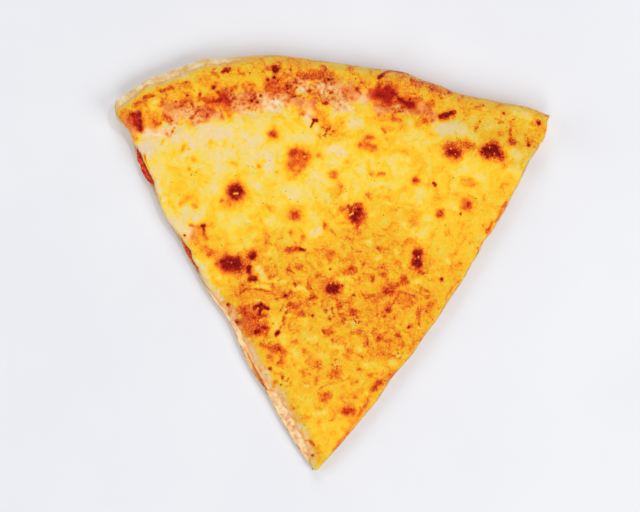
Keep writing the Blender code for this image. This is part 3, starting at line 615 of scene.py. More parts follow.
def row_counts(rows, spacing):
    """How many points each row has, for points about a spacing apart."""
    widths = 2.1 * HALF_ANGLE * np.maximum(PIE_RADIUS - rows, 3)
    return np.maximum(np.round(widths / spacing).astype(int), 2) + 1


def zip_rows(first, second, across):
    """Triangles between two rows of points that may differ in number."""
    keys = np.concatenate([(across[row][1:] + across[row][:-1]) / 2 for row in (first, second)])
    order = np.argsort(keys, kind="stable")
    on_first = order < len(first) - 1
    a = np.cumsum(on_first) - on_first
    b = np.cumsum(~on_first) - ~on_first
    next_first = first[np.minimum(a + 1, len(first) - 1)]
    next_second = second[np.minimum(b + 1, len(second) - 1)]
    return np.stack([first[a], second[b], np.where(on_first, next_first, next_second)], axis=1)


def ring_triangles(upper, lower):
    """Triangles of the wall between two loops of equal length."""
    upper_next, lower_next = np.roll(upper, -1), np.roll(lower, -1)
    return np.concatenate([
        np.stack([upper, lower_next, lower], axis=1),
        np.stack([upper, upper_next, lower_next], axis=1),
    ])


def slab(first_row, spacings, wall_points, rim_rows=()):
    """Places (across, row and depth), triangles and lower rim of a closed slab.

    Its rows are rim_rows, and then evenly spaced ones from first_row to the tip. The depth is 0 on
    the upper face and 1 on the lower one, with loops between them in the wall.
    """
    row_spacing, upper_spacing, lower_spacing = spacings
    rows = np.concatenate([rim_rows, np.arange(first_row, PIE_RADIUS, row_spacing), [PIE_RADIUS]])
    upper_counts, lower_counts = row_counts(rows, upper_spacing), row_counts(rows, lower_spacing)
    lower_counts[[0, -1]] = upper_counts[[0, -1]]
    places, triangles, start = [], [], 0

    def add(new_places):
        nonlocal start
        places.append(new_places)
        start += len(new_places)
        return np.arange(start - len(new_places), start)

    def at(known, depth):
        return np.column_stack([known, np.full(len(known), depth)])

    def face(counts, depth):
        return [add(at(at(np.linspace(0, 1, count), row), depth)) for row, count in zip(rows, counts)]

    def loop(indices):
        right = [row[-1] for row in indices[1:-1]]
        left = [row[0] for row in indices[-2:0:-1]]
        return np.concatenate([indices[0], right, indices[-1][::-1], left])

    upper, lower = face(upper_counts, 0.0), face(lower_counts, 1.0)
    edge, last = loop(upper), loop(lower)
    around = np.concatenate(places)[edge][:, :2]
    inner_depths = np.linspace(0, 1, wall_points)[1:-1]
    rings = [edge, *(add(at(around, depth)) for depth in inner_depths), last]
    triangles += [ring_triangles(a, b) for a, b in zip(rings, rings[1:])]
    places = np.concatenate(places)
    triangles += [zip_rows(a, b, places[:, 0]) for a, b in zip(upper, upper[1:])]
    triangles += [zip_rows(a, b, places[:, 0])[:, ::-1] for a, b in zip(lower, lower[1:])]
    return places.T, np.concatenate(triangles), last


def round_the_wall(across, row):
    """A place along the cuts, far apart on the two of them, for noise that varies along them."""
    return row + CUTS_APART * np.round(across)


def place_object(name, data):
    thing = bpy.data.objects.new(name, data)
    bpy.context.scene.collection.objects.link(thing)
    return thing


def make_mesh(name, points, triangles, material, sharp=(), **numbers):
    """A smooth mesh from the x, y and z of its points, which stays inside the CAD model's box.

    sharp holds the points of the loops along which it has a sharp edge.
    """
    points = np.clip(np.stack(points, axis=1), BOX_LOW, BOX_HIGH) * METRES
    mesh = bpy.data.meshes.new(name)
    mesh.vertices.add(len(points))
    mesh.vertices.foreach_set("co", points.astype(np.float32).ravel())
    mesh.loops.add(triangles.size)
    mesh.loops.foreach_set("vertex_index", triangles.astype(np.int32).ravel())
    mesh.polygons.add(len(triangles))
    mesh.polygons.foreach_set("loop_start", np.arange(0, triangles.size, 3, dtype=np.int32))
    mesh.update(calc_edges=True)
    mesh.validate()
    mesh.shade_smooth()
    ends = np.zeros(2 * len(mesh.edges), np.int32)
    mesh.edges.foreach_get("vertices", ends)
    sharp_edge = mesh.attributes.new("sharp_edge", "BOOLEAN", "EDGE")
    sharp_edge.data.foreach_set("value", np.isin(ends.reshape(-1, 2), sharp).all(axis=1))
    for number, values in numbers.items():
        attribute = mesh.attributes.new(number, "FLOAT", "POINT")
        attribute.data.foreach_set("value", np.asarray(values, np.float32))
    mesh.materials.append(material)
    piece = place_object(name, mesh)
    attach(piece, "root")
    return piece


# ---------------------------------------------------------------- marks on the cheese

def near(x, y, mark, margin):
    """Points near a mark, and their distances from it as a share of its half width."""
    *ends, half_width = mark
    x0, y0, x1, y1 = (ends * 2)[:4]
    reach = margin * half_width
    inside = np.flatnonzero(
        (x > min(x0, x1) - reach) & (x < max(x0, x1) + reach)
        & (y > min(y0, y1) - reach) & (y < max(y0, y1) + reach)
    )
    dx, dy = x[inside] - x0, y[inside] - y0
    length2 = (x1 - x0) ** 2 + (y1 - y0) ** 2
    along = np.clip((dx * (x1 - x0) + dy * (y1 - y0)) / max(length2, 1e-9), 0, 1)
    return inside, np.hypot(dx - along * (x1 - x0), dy - along * (y1 - y0)) / half_width


def fall_off(distance, edge=1.3, steepness=5):
    """1 in the middle of a mark, a half at its edge, and fading out past it."""
    return 1 / (1 + (distance / edge) ** steepness)


def zone_level(x, y, zones):
    """Smooth blend of the levels of zones."""
    total = weights = 0
    for zone_x, zone_y, half_width, level in zones:
        weight = np.exp(-((x - zone_x) ** 2 + (y - zone_y) ** 2) / (1.2 * half_width**2)) + 1e-12
        total = total + weight * level
        weights = weights + weight
    return total / weights


def zone_cover(x, y, zones):
    cover = 0 * x
    for zone_x, zone_y, half_width in zones:
        away = ((x - zone_x) ** 2 + (y - zone_y) ** 2) / half_width**2
        cover = np.maximum(cover, np.exp(-(away**1.5)))
    return cover


def freckles(x, y, seed, count, smallest, largest):
    """Many small spots, most of them on the lower and the right part of the slice."""
    random = np.random.default_rng(seed)
    cover = 0 * x
    for _ in range(count):
        spot_x, spot_y = random.uniform(-80, 95), random.uniform(-95, 75)
        half_width, strength = random.uniform(smallest, largest), random.uniform(0.2, 1)
        wanted = ease(70, -30, spot_y) * 0.8 + 0.25 * ease(0, 60, spot_x) + 0.1
        if random.uniform() > wanted:
            continue
        inside, distance = near(x, y, (spot_x, spot_y, half_width), 2.2)
        cover[inside] = np.maximum(cover[inside], strength * fall_off(distance, 1.1, 3))
    return cover


def melted_ground(x, y):
    """How far the cheese is baked before its spots, its relief, how crisp it is, and the slope."""
    flow_x, flow_y = drawn(x, y, 10, 3.2, 105)
    curd_x, curd_y = drawn(flow_x, flow_y, 4, 1.3, 205)
    bake = zone_level(flow_x, flow_y, BAKED_ZONES)
    inset = inset_of(*polar(x, y))
    on_rim = ease(RIM_WIDTH + 8, RIM_WIDTH, inset)
    on_slope = ease(RIM_CREST, RIM_CREST + 5, inset) * on_rim * ease(62, 45, x)
    crisp = np.maximum(ease(0.36, 0.6, bake) * mix(1, 0.6, on_slope), on_rim * mix(1.2, 0.35, on_slope))
    streaky = rough(flow_x, flow_y, 8, 41, 3)
    bake += mix(0.1, 0.18, on_slope) * streaky
    curds = ease(-0.1, 0.7, rough(curd_x, curd_y, 5.5, 55, 3))
    bake = mix(bake, np.minimum(bake, mix(0.26, 0.45, crisp)), 0.55 * curds)
    oily = ease(0, 0.8, rough(curd_x, curd_y, 4.5, 65, 3))
    bake = bake + mix(0.13, 0.16, crisp) * (oily - mix(0.1, 0.2, crisp))
    relief = 0.24 * rough(x, y, 6.5, 61, 3) + 0.1 * rough(x, y, 1.9, 71, 2) + 0.12 * curds
    strings = ease(0.16, 0, np.abs(rough(flow_x, flow_y, 6, 81, 2)))
    relief += 0.14 * strings
    bake -= mix(0.04, 0.1, crisp) * strings
    veins = ease(0.2, 0, np.abs(rough(curd_x, curd_y, 4.5, 85, 2))) * ease(-0.2, 0.6, streaky)
    relief -= 0.1 * veins
    bake += mix(0.02, 0.13, crisp) * veins
    return np.minimum(bake, GROUND_LIMIT), relief, crisp, on_slope


def cheese_marks(x, y):
    """How far the cheese is baked (with painted highlights) and stained, its relief, and how crisp it is.
    """
    bake, relief, crisp, on_slope = melted_ground(x, y)
    cloud = rough(x, y, 2.3, 121, 3)
    broken = ease(-0.7, 0.5, rough(x, y, 3.4, 125, 3))
    patch_x, patch_y = drawn(x, y, 3.6, 1, 111)
    for level, patches in PALE_PATCHES.items():
        for patch in patches:
            inside, distance = near(patch_x, patch_y, patch, 2.4)
            cover = fall_off(distance, 1.35, 4) * ease(-1, 0.1, cloud[inside])
            bake[inside] = mix(bake[inside], np.minimum(bake[inside], level + 0.04), 0.85 * cover)
            relief[inside] += 0.25 * cover
            crisp[inside] *= 1 - 0.6 * cover
    milky = freckles(patch_x, patch_y, *MILKY_FRECKLES)
    bake = mix(bake, np.minimum(bake, MILKY), 0.5 * milky)
    dots = freckles(patch_x, patch_y, *BROWN_FRECKLES)
    bake = bake + 0.17 * dots
    relief += 0.12 * milky - 0.08 * dots

    spot_x, spot_y = drawn(x, y, 2.4, 0.4, 131)
    stain = 0 * x
    for mark in STAINS:
        inside, distance = near(spot_x, spot_y, mark, 3)
        cover = fall_off(distance * (1 + 0.5 * cloud[inside]), 1.35, 3)
        stain[inside] = np.maximum(stain[inside], STAIN * cover * mix(0.7, 1, broken[inside]))
    charred, halo, soaked = 0 * x, 0 * x, 0 * x
    for level, marks in SPOTS.items():
        deep = max(level - BLISTER_FROM, 0) / (1 - BLISTER_FROM)
        for mark in marks:
            inside, distance = near(spot_x, spot_y, mark, 3)
            ragged = distance * (1 + mix(0.5, 0.12, deep) * cloud[inside])
            whole = mix(broken[inside], 1, mix(0.4, 1, deep))
            cover = fall_off(ragged, mix(1.25, 1.45, deep), mix(3, 5, deep)) * whole
            bake[inside] += np.maximum(level - bake[inside], 0) * cover
            size = min(1, mark[-1] / 2.5)
            glow = (level - 0.5) * fall_off(ragged, 1.8, 4) * mix(0.4, 1, size)
            halo[inside] = np.maximum(halo[inside], glow)
            charred[inside] = np.maximum(charred[inside], deep * fall_off(ragged, 1.15, 6))
            if level == CRIMSON:
                soaked[inside] = np.maximum(soaked[inside], cover)
                continue
            blister = fall_off(distance, 1.2, 6) - 0.7 * fall_off(distance, 0.6, 4)
            relief[inside] += 0.6 * size * deep * blister
    bake = np.maximum(bake, mix(bake, HALO, np.clip(1.1 * halo, 0, 1)))

    grain_and_glint_cover = np.maximum(zone_cover(x, y, GRAIN_AND_GLINT_ZONES), 0.1 * on_slope) * (1 - 0.8 * soaked)
    grit = rough(x, y, 1.7, 141, 3)
    # Grainy places get dark browned grains where the noise rises and, where it dips, pale grains that are
    # painted highlights
    bake_with_grains_and_glints = bake + grain_and_glint_cover * (0.3 * ease(0.05, 0.6, grit) - 0.2 * ease(0.05, 0.6, -grit))
    bake = np.minimum(bake_with_grains_and_glints, np.maximum(bake, GRAIN_LIMIT))
    crinkle = rough(x, y, 1.3, 91, 2)
    bake = bake + charred * (0.08 * crinkle - 0.02)
    relief += 0.25 * grain_and_glint_cover * grit + 0.2 * charred * crinkle
    # Painted highlights: each gleam turns the cheese's colour near white, clears its stain and raises the
    # relief a little
    for painted_gleam in PAINTED_GLEAMS:
        inside, distance = near(x, y, painted_gleam, 2)
        cover = 0.85 * fall_off(distance, 0.75, 4)
        bake[inside] = mix(bake[inside], WHITE, cover)
        stain[inside] *= 1 - cover
        relief[inside] += 0.2 * cover
    for fleck_x, fleck_y, half_length in FLECKS:
        inside, distance = near(x, y, (fleck_x, fleck_y, half_length), 3.5)
        cover = fall_off(distance, 1.9, 6) * ease(0.2, 0.55, half_length)
        bake[inside] = mix(bake[inside], np.maximum(bake[inside], BROWN), cover)
    crisp = np.clip(np.maximum(crisp, 0.9 * charred) + 0.5 * grain_and_glint_cover, 0, 1.3) * (1 - 0.85 * soaked)
    return bake, stain, relief, crisp


# ---------------------------------------------------------------- materials

def rgb(red, green, blue):
    """A colour given as on a screen, as the shaders need it."""
    shares = np.array([red, green, blue]) / 255
    linear = np.where(shares <= 0.04045, shares / 12.92, ((shares + 0.055) / 1.055) ** 2.4)
    return (*linear, 1.0)


class Nodes:
    """The nodes of one material: most calls add one and return its output."""

    def __init__(self, name):
        self.material = bpy.data.materials.new(name)
        self.material.use_nodes = True
        self.tree = self.material.node_tree
        self.shader = self.tree.nodes["Principled BSDF"]
        self.place = self.add("ShaderNodeTexCoord").outputs["Object"]

    def feed(self, node, sockets):
        """Links or sets sockets, given by name or number."""
        for socket, value in sockets.items():
            if isinstance(value, bpy.types.NodeSocket):
                self.tree.links.new(value, node.inputs[socket])
            else:
                node.inputs[socket].default_value = value

    def add(self, kind, sockets=None, **settings):
        node = self.tree.nodes.new(kind)
        for setting, value in settings.items():
            setattr(node, setting, value)
        self.feed(node, sockets or {})
        return node

    def number(self, name):
        return self.add("ShaderNodeAttribute", attribute_name=name).outputs["Fac"]

    def math(self, operation, a, b, clamp=False):
        return self.add("ShaderNodeMath", {0: a, 1: b}, operation=operation, use_clamp=clamp).outputs[0]

    def plus(self, *terms):
        total = terms[0]
        for term in terms[1:]:
            total = self.math("ADD", total, term)
        return total

    def times(self, a, b, clamp=False):
        return self.math("MULTIPLY", a, b, clamp)

    def noise(self, size, detail=3.0, roughness=0.55, swirl=0.0):
        """Noise round 0.5 with humps of about a size in millimetres."""
        sockets = {"Vector": self.place, "Scale": 1 / (size * METRES), "Detail": detail}
        sockets.update(Roughness=roughness, Distortion=swirl)
        return self.add("ShaderNodeTexNoise", sockets).outputs["Fac"]

    def swing(self, value, amount):
        """Noise turned into an offset of up to half an amount either way."""
        return self.times(self.math("SUBTRACT", value, 0.5), amount)

    def span(self, value, low, high, to_low=0.0, to_high=1.0):
        """to_low up to low, to_high from high on, and smooth between them."""
        sockets = dict(enumerate((value, low, high, to_low, to_high)))
        return self.add("ShaderNodeMapRange", sockets, interpolation_type="SMOOTHSTEP").outputs[0]

    def ramp(self, value, stops):
        node = self.add("ShaderNodeValToRGB", {0: value})
        elements = node.color_ramp.elements
        while len(elements) < len(stops):
            elements.new(1.0)
        for element, (position, colour) in zip(elements, stops):
            element.position = position
            element.color = rgb(*colour)
        return node.outputs["Color"]

    def blend(self, a, b, share):
        sockets = {"Factor": share, "A": a, "B": b}
        return self.add("ShaderNodeMix", sockets, data_type="RGBA").outputs["Result"]

    def bump(self, height, distance):
        node = self.add("ShaderNodeBump", {"Height": height, "Distance": distance * METRES})
        self.set(Normal=node.outputs["Normal"])

    def set(self, **sockets):
        """Links or sets sockets of the shader."""
        self.feed(self.shader, {name.replace("_", " "): value for name, value in sockets.items()})


# Colours by how far a place is baked, or by noise: position on the ramp, and red, green and blue
CHEESE_COLOURS = (
    (0.0, (230, 216, 202)), (0.12, (230, 206, 172)), (0.22, (237, 208, 134)), (0.32, (242, 208, 80)),
    (0.42, (248, 200, 38)), (0.52, (253, 185, 28)), (0.6, (251, 161, 24)), (0.68, (244, 131, 20)),
    (0.76, (234, 96, 14)), (0.83, (214, 58, 7)), (0.9, (180, 22, 2)), (0.96, (146, 4, 0)),
    (1.0, (112, 0, 0)),
)
STAINED_COLOURS = (
    (0.1, (244, 222, 196)), (0.25, (248, 206, 156)), (0.4, (250, 178, 110)), (0.55, (242, 150, 78)),
    (0.7, (232, 114, 50)), (0.82, (208, 60, 24)), (0.92, (172, 20, 8)),
)
SAUCE_COLOURS = ((0.2, (120, 4, 2)), (0.4, (190, 20, 6)), (0.56, (226, 60, 16)), (0.72, (244, 130, 44)))
DOUGH_COLOURS = (
    (0.0, (250, 238, 216)), (0.14, (244, 216, 168)), (0.26, (232, 190, 124)), (0.36, (224, 172, 90)),
    (0.44, (238, 182, 84)), (0.54, (240, 170, 62)), (0.64, (228, 142, 52)), (0.76, (196, 102, 44)),
    (0.88, (136, 62, 34)), (1.0, (66, 30, 22)),
)
CRUMB_COLOURS = ((0.2, (214, 142, 80)), (0.42, (246, 194, 126)), (0.6, (254, 220, 166)))
DOUGH_STAIN_COLOURS = ((0.34, (204, 122, 64)), (0.46, (230, 174, 112)), (0.6, (238, 208, 160)))
FLECK_COLOURS = ((0.35, (48, 6, 4)), (0.65, (92, 20, 8)))
FLOOR_COLOURS = ((0.3, (223, 223, 227)), (0.7, (227, 227, 230)))
MILK = (252, 222, 130)
SCATTER = 0.0012  # how far light spreads under the surface of food, in metres


def cheese_material():
    nodes = Nodes("melted_cheese_look")
    crisp = nodes.number("crisp")
    fine, finer = nodes.noise(1.8, 4, swirl=1.4), nodes.noise(0.7, 2, swirl=1)
    bake = nodes.plus(
        nodes.number("bake"),
        nodes.swing(fine, nodes.plus(0.12, nodes.times(crisp, 0.3))),
        nodes.swing(finer, nodes.plus(0.1, nodes.times(crisp, 0.4))),
    )
    colour = nodes.ramp(bake, CHEESE_COLOURS)
    undark = nodes.math("SUBTRACT", 1.0, nodes.span(bake, 0.78, 0.92))
    milk = nodes.span(nodes.noise(1.1, 3, 0.7), 0.56, 0.7)
    milk = nodes.times(nodes.times(milk, nodes.times(crisp, 0.5), clamp=True), undark)
    colour = nodes.blend(colour, rgb(*MILK), milk)
    stain = nodes.plus(nodes.number("stain"), nodes.swing(fine, 0.3))
    stained = nodes.times(nodes.span(stain, 0.08, 0.4, 0.0, 0.9), undark)
    colour = nodes.blend(colour, nodes.ramp(bake, STAINED_COLOURS), stained)
    roughness = nodes.span(nodes.plus(nodes.noise(7, 2), nodes.swing(fine, 0.4)), 0.35, 0.7, 0.12, 0.26)
    nodes.set(
        Base_Color=colour, Roughness=roughness, Specular_IOR_Level=0.13,
        Subsurface_Weight=0.12, Subsurface_Scale=SCATTER, Subsurface_Radius=(1.0, 0.6, 0.25),
    )
    nodes.bump(nodes.plus(fine, nodes.times(finer, nodes.plus(crisp, 0.2))), 0.6)
    return nodes.material


def sauce_material():
    nodes = Nodes("tomato_sauce_look")
    pulp, fine = nodes.noise(1.8, 3), nodes.noise(0.6, 3)
    colour = nodes.ramp(nodes.plus(pulp, nodes.swing(fine, 0.5)), SAUCE_COLOURS)
    nodes.set(Base_Color=colour, Roughness=nodes.span(fine, 0.3, 0.7, 0.14, 0.34), Specular_IOR_Level=0.2)
    nodes.bump(nodes.plus(pulp, fine), 0.6)
    return nodes.material


def dough_material():
    nodes = Nodes("baked_dough_look")
    fine, finer, broad = nodes.noise(1.4, 4), nodes.noise(0.5, 3), nodes.noise(6, 3)
    bake = nodes.plus(nodes.number("bake"), nodes.swing(fine, 0.3), nodes.swing(broad, 0.3))
    crust = nodes.ramp(bake, DOUGH_COLOURS)
    crumb = nodes.ramp(nodes.plus(finer, nodes.swing(fine, 0.6)), CRUMB_COLOURS)
    colour = nodes.blend(crust, crumb, nodes.number("crumb"))
    oily = nodes.plus(nodes.noise(3.5, 3), nodes.swing(fine, 0.6))
    stained = nodes.times(nodes.number("stain"), nodes.span(fine, 0.3, 0.65, 0.75, 1), clamp=True)
    colour = nodes.blend(colour, nodes.ramp(oily, DOUGH_STAIN_COLOURS), stained)
    nodes.set(
        Base_Color=colour, Roughness=nodes.span(fine, 0.3, 0.7, 0.5, 0.72), Specular_IOR_Level=0.3,
        Subsurface_Weight=0.08, Subsurface_Scale=SCATTER, Subsurface_Radius=(1.0, 0.6, 0.3),
    )
    nodes.bump(nodes.plus(fine, nodes.times(finer, 0.6)), 0.3)
    return nodes.material


def fleck_material():
    nodes = Nodes("burnt_fleck_look")
    nodes.set(
        Base_Color=nodes.ramp(nodes.noise(1.5), FLECK_COLOURS), Roughness=0.6, Specular_IOR_Level=0.08
    )
    return nodes.material


# ---------------------------------------------------------------- the layers

def dough():
    rim_rows = RIM_CREST * (1 - np.cos(np.linspace(0, pi / 2, DOUGH_RIM)))
    (across, row, depth), triangles, rim = slab(RIM_CREST + 0.6, DOUGH_SPACING, DOUGH_WALL, rim_rows)
    at_cut = (across == 0) | (across == 1)
    at_crust = (row == 0) & ~at_cut
    inner = ease(0, 0.1, depth) * ease(1, 0.92, depth)
    along = round_the_wall(across, row)
    pores = 1.1 * np.maximum(rough(along, 5 * depth, 2.6, 201, 3), 0)
    pores = pores + 0.25 * (1 + lumps(along, 4 * depth, 1.1, 205, 256))
    pores = at_cut * (pores * inner + 0.3 * ease(0, 0.3, depth) * (1 + lumps(along, 0, 7, 207, 256)))

    def left(reach):
        return 0.3 * curve(DOUGH_LEFT, reach) * (1 - depth) + pores

    def right(reach):
        return DOUGH_RIGHT * (1 - depth) + pores

    def crust(side):
        folds = 0.35 * (1 + rough(arc_of(side), 5 * depth, 5, 211, 3)) * ease(1, 0.9, depth)
        return RIM_UNDERCUT * depth**2 + folds * ease(RIM_CREST, 0, row)

    reach, angle = spot(across, row, left, right, crust)
    x, y = world(reach, angle)
    inset = inset_of(reach, angle)
    side = side_of(reach, angle)
    top = dough_top(reach, angle)
    on_rim = ease(RIM_WIDTH, RIM_CREST, inset)
    relief = mix(0.2, 0.5, on_rim) * rough(x, y, 6, 221, 3) + 0.2 * on_rim * rough(x, y, 2, 223, 2) - 0.3
    lift = 0.35 * np.maximum(rough(x, y, 9, 231, 3), 0)
    z = np.where(depth == 0, top + relief * ease(0, 3, inset), top * (1 - depth))
    z = np.where((depth == 1) & ~at_cut & (row > 0), lift, z)

    from_left, _ = from_cuts(reach, angle)
    bake = mix(CRUST_BAKE, PALE_CRUST_BAKE, ease(-0.3, -0.5, side)) + 0.16 * rough(x, y, 7, 241, 3)
    blisters = ease(0.5, 1, rough(arc_of(side), 1.6 * top * depth, 7, 245, 2))
    bake = bake + at_crust * (0.22 * ease(0.2, 0.7, depth) + 0.16 * blisters)
    bottom = 0.42 + 0.3 * rough(x, y, 14, 251, 3) + 0.16 * rough(x, y, 4, 255, 2)
    bake = np.where(depth > 0.97, bottom, bake)
    bake = np.where((depth == 0) & (inset > SAUCE_EDGE), BARE_BAKE, bake)
    crumb = np.where(at_cut & (row > 0), ease(0, 0.06, depth) * ease(0.98, 0.88, depth), 0)
    oily = ease(0, 1.6, from_left + 0.8 * lumps(x, y, 4, 261))
    stain = (depth == 0) * ease(SAUCE_EDGE, SAUCE_EDGE + 4, inset) * oily
    for fold in DOUGH_FOLDS:
        inside, distance = near(*seen(x, y, top), fold, 3)
        cover = (depth[inside] == 0) * fall_off(distance, 1.1, 4)
        bake[inside] = mix(bake[inside], FOLD_BAKE, cover)
        stain[inside] *= 1 - cover
    piece = make_mesh(
        "dough_slice", (x, y, z), triangles, dough_material(), rim, bake=bake, crumb=crumb, stain=stain
    )
    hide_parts("dough")


def sauce():
    (across, row, depth), triangles, rim = slab(SAUCE_EDGE, SAUCE_SPACING, SAUCE_WALL)
    ragged = 0.5 * rough(round_the_wall(across, row), 0, 4, 301, 3)
    reach, angle = spot(
        across, row,
        lambda reach: curve(SAUCE_LEFT, reach) + ragged,
        lambda reach: SAUCE_RIGHT + 0.3 * (1 + ragged),
        lambda side: 0 * side,
    )
    x, y = world(reach, angle)
    low = dough_top(reach, angle) - 0.3
    top = sauce_top(reach, angle) - 0.1 + 0.22 * rough(x, y, 3, 311, 3)
    edge = np.minimum(*from_cuts(reach, angle)) - 0.4
    top = np.maximum(top - 0.5 * ease(1.2, 0, edge), low + 0.2)
    points = (x, y, mix(top, low, depth))
    piece = make_mesh("tomato_sauce_layer", points, triangles, sauce_material(), rim)
    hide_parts("tomato_sauce")


def cheese_left(reach):
    """How far the dragged edge of the cheese stays inside the left cut."""
    ragged = 0.5 * rough(reach, 0, 8, 401, 2) + 0.35 * rough(reach, 0, 3, 403, 3)
    return np.maximum(curve(CHEESE_LEFT, reach) + ragged * ease(0, TIP_CALM, reach), 0.5)


def cheese_right(reach):
    return CHEESE_RIGHT + 0.35 * (1 + rough(reach, 0, 5, 411, 3)) * ease(0, 15, reach)


def cheese_crust(side):
    arc = arc_of(side)
    wander = ease(-0.1, -0.5, side) * (1 + rough(arc, 0, 11, 423, 2))
    return curve(CHEESE_CRUST, side) + wander + 0.35 * (1 + rough(arc, 0, 4, 421, 3))


def cheese_surface(reach, angle):
    """Height of the cheese, how far it is baked and stained, how crisp it is, and its cut face."""
    x, y = world(reach, angle)
    inset = inset_of(reach, angle)
    down_wall = WALL_UNROLL * np.clip(1 - inset / WALL_INSET, 0, 1) ** 2
    unrolled_x, unrolled_y = x + down_wall * np.sin(angle), y + down_wall * np.cos(angle)
    bake, stain, relief, crisp = cheese_marks(*seen(unrolled_x, unrolled_y, cheese_top(reach, angle)))
    side = side_of(reach, angle)
    from_left, from_right = from_cuts(reach, angle)
    dragged = ease(*DRAG_REACH, reach) * ease(0, 9, reach)
    left_edge = np.clip((from_left - cheese_left(reach)) / mix(LIP_WIDTH, DRAG_WIDTH, dragged), 0, 1)
    right_edge = np.clip((from_right - cheese_right(reach)) / LIP_WIDTH, 0, 1)
    edge = np.minimum(left_edge, right_edge)
    sinking = dragged * (left_edge < right_edge)
    lip = mix(np.sqrt(1 - (1 - edge) ** 2), ease(-0.1, 1, edge), sinking)
    rim_edge = np.clip((inset - cheese_crust(side)) / FILM_WIDTH, 0, 1)
    rim_lip = ease(-0.4, 1, rim_edge)
    low = dough_top(reach, angle)
    film = mix(0.35, 1, ease(RIM_CREST - 2, RIM_WIDTH, inset))
    top = cheese_top(reach, angle) + relief * film * np.clip(0.2 + from_left / 2, 0, 1)
    height = (top - low) * mix(mix(0.4, 0, sinking), 1, lip) * mix(0.04, 1, rim_lip)
    bare_side = ease(-0.2, -0.5, side)
    bare_rim = ease(1, 0, rim_edge) * bare_side
    bake = mix(bake, FILM_END, 0.8 * bare_rim)
    cut_face = ease(1, 0.1, left_edge) * ease(*CUT_FACE_REACH, reach) * (1 - 0.85 * dragged)
    mottle = rough(x, y, 2.8, 451, 4)
    thin = dragged * ease(0.8, 0.3, left_edge + 0.35 * mottle) * ease(0.78, 0.64, bake)
    bake = mix(bake, 0.36 + 0.22 * mottle, 0.85 * thin)
    peach = STAIN * thin * (0.72 + 0.2 * mottle)
    stain = np.maximum(stain * (1 - bare_rim) * (1 - cut_face), np.maximum(peach, 0.35 * bare_rim))
    sunk = LEFT_SINKS * sinking * ease(0.25, 0, edge) + bare_side * ease(0.35, 0, rim_edge)
    return low + np.maximum(height, THINNEST_CHEESE) - sunk, bake, stain, crisp, cut_face


def cheese():
    (across, row, depth), triangles, rim = slab(0, CHEESE_SPACING, CHEESE_WALL)
    reach, angle = spot(
        across, row,
        lambda reach: cheese_left(reach) + 0.3 * depth,
        lambda reach: cheese_right(reach) + 0.2 * depth,
        cheese_crust,
    )
    x, y = world(reach, angle)
    upper_edge = spot(across, row, cheese_left, cheese_right, cheese_crust)
    top, bake, stain, crisp, cut_face = cheese_surface(*upper_edge)
    from_left, _ = from_cuts(reach, angle)
    bare = ease(0, 0.5, curve(SAUCE_LEFT, reach) - cheese_left(reach)) * ease(30, 10, from_left)
    low = mix(under_cheese(reach, angle), dough_top(reach, angle), bare) - 0.2
    low = np.minimum(low, top - 0.1)
    cut_face = np.maximum(cut_face, (depth > 0) * ease(0, 20, inset_of(reach, angle)))
    uneven = 0.07 * rough(round_the_wall(across, row), 0, 9, 441, 2) + 0.05 * rough(x, y, 2, 443, 2)
    bake = mix(bake, 0.12 + uneven, 0.9 * cut_face)
    piece = make_mesh(
        "melted_cheese_layer", (x, y, mix(top, low, depth)), triangles, cheese_material(), rim,
        bake=np.clip(bake, 0, 1), stain=np.maximum(stain, 0), crisp=crisp * (1 - cut_face),
    )
    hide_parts("melted_cheese")


def fleck_places():
    """Place and half length of each burnt fleck: those in the table, and finer ones between them."""
    random = np.random.default_rng(71)
    places = list(FLECKS)
    while len(places) < FLECK_COUNT:
        x, y = random.uniform(-90, 95), random.uniform(-92, 90)
        reach, angle = polar(x, y)
        if min(from_cuts(reach, angle)) > 5 and inset_of(reach, angle) > 12:
            places.append((x, y, random.uniform(0.15, 0.28)))
    seen_x, seen_y, sizes = np.array(places).T
    x, y = seen_x, seen_y
    for _ in range(3):  # back from where the camera sees them
        shift_x, shift_y = seen(x, y, cheese_top(*polar(x, y)))
        x, y = x + seen_x - shift_x, y + seen_y - shift_y
    return x, y, sizes


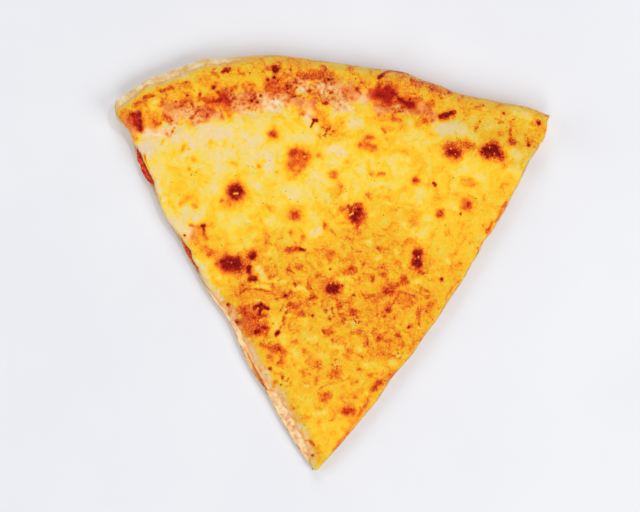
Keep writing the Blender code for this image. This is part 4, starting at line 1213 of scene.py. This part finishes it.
def flecks():
    """Burnt crumbs, each a small crooked lump pressed into the cheese."""
    random = np.random.default_rng(73)
    x, y, sizes = fleck_places()
    heights = cheese_surface(*polar(x, y))[0]
    points, triangles = [], []
    for x, y, size, height in zip(x, y, sizes, heights):
        start = len(points)
        turn, lean = random.uniform(0, pi), random.uniform(0.35, 0.7)
        for i in range(FLECK_CORNERS):
            bend = 2 * pi * i / FLECK_CORNERS
            radius = 1.3 * size * random.uniform(0.75, 1.25)
            long, short = radius * cos(bend), radius * lean * sin(bend)
            points.append((
                x + long * cos(turn) - short * sin(turn),
                y + long * sin(turn) + short * cos(turn),
                height + random.uniform(-0.05, 0.05),
            ))
        points += [(x, y, height + 0.45 * size), (x, y, height - 0.5 * size)]
        top = start + FLECK_CORNERS
        for i in range(FLECK_CORNERS):
            this, following = start + i, start + (i + 1) % FLECK_CORNERS
            triangles += [(this, following, top), (following, this, top + 1)]
    piece = make_mesh("burnt_flecks", np.transpose(points), np.array(triangles), fleck_material())


# ---------------------------------------------------------------- the studio

def stage():
    far = FLOOR_REACH * METRES
    mesh = bpy.data.meshes.new("floor")
    mesh.from_pydata([(-far, -far, 0), (far, -far, 0), (far, far, 0), (-far, far, 0)], [], [(0, 1, 2, 3)])
    floor = place_object("floor", mesh)
    floor.location.z = -FLOOR_DROP * METRES
    nodes = Nodes("floor_look")
    tint = nodes.ramp(nodes.noise(90, 3), FLOOR_COLOURS)
    nodes.set(Base_Color=tint, Roughness=0.6, Specular_IOR_Level=0.2)
    mesh.materials.append(nodes.material)


def studio():
    """Softboxes all round, the brightest on the right, and little light from straight above."""
    scene = bpy.context.scene
    scene.world = bpy.data.worlds.new("studio")
    scene.world.use_nodes = True
    background = scene.world.node_tree.nodes["Background"]
    background.inputs["Color"].default_value = (*SKY_COLOUR, 1.0)
    background.inputs["Strength"].default_value = SKY_STRENGTH
    scene.view_settings.view_transform = "Standard"
    for name, place, size, power, colour in LIGHTS:
        light = bpy.data.lights.new(name, "AREA")
        light.shape = "DISK"
        light.size = size * METRES
        light.energy = power
        light.color = colour
        lamp = place_object(name, light)
        lamp.location = Vector(place) * METRES
        lamp.rotation_euler = (-lamp.location).to_track_quat("-Z", "Y").to_euler()


def camera():
    lens = bpy.data.cameras.new("camera")
    lens.lens = FOCAL_LENGTH
    lens.sensor_width = SENSOR_WIDTH
    lens.clip_start, lens.clip_end = CLIP_START, CLIP_END
    body = place_object("camera", lens)
    body.location = Vector((CAMERA_X, CAMERA_Y, CAMERA_HEIGHT)) * METRES
    body.rotation_euler = Euler((0, 0, CAMERA_TURN))
    bpy.context.scene.camera = body


stage()
studio()
camera()
dough()
sauce()
cheese()
flecks()
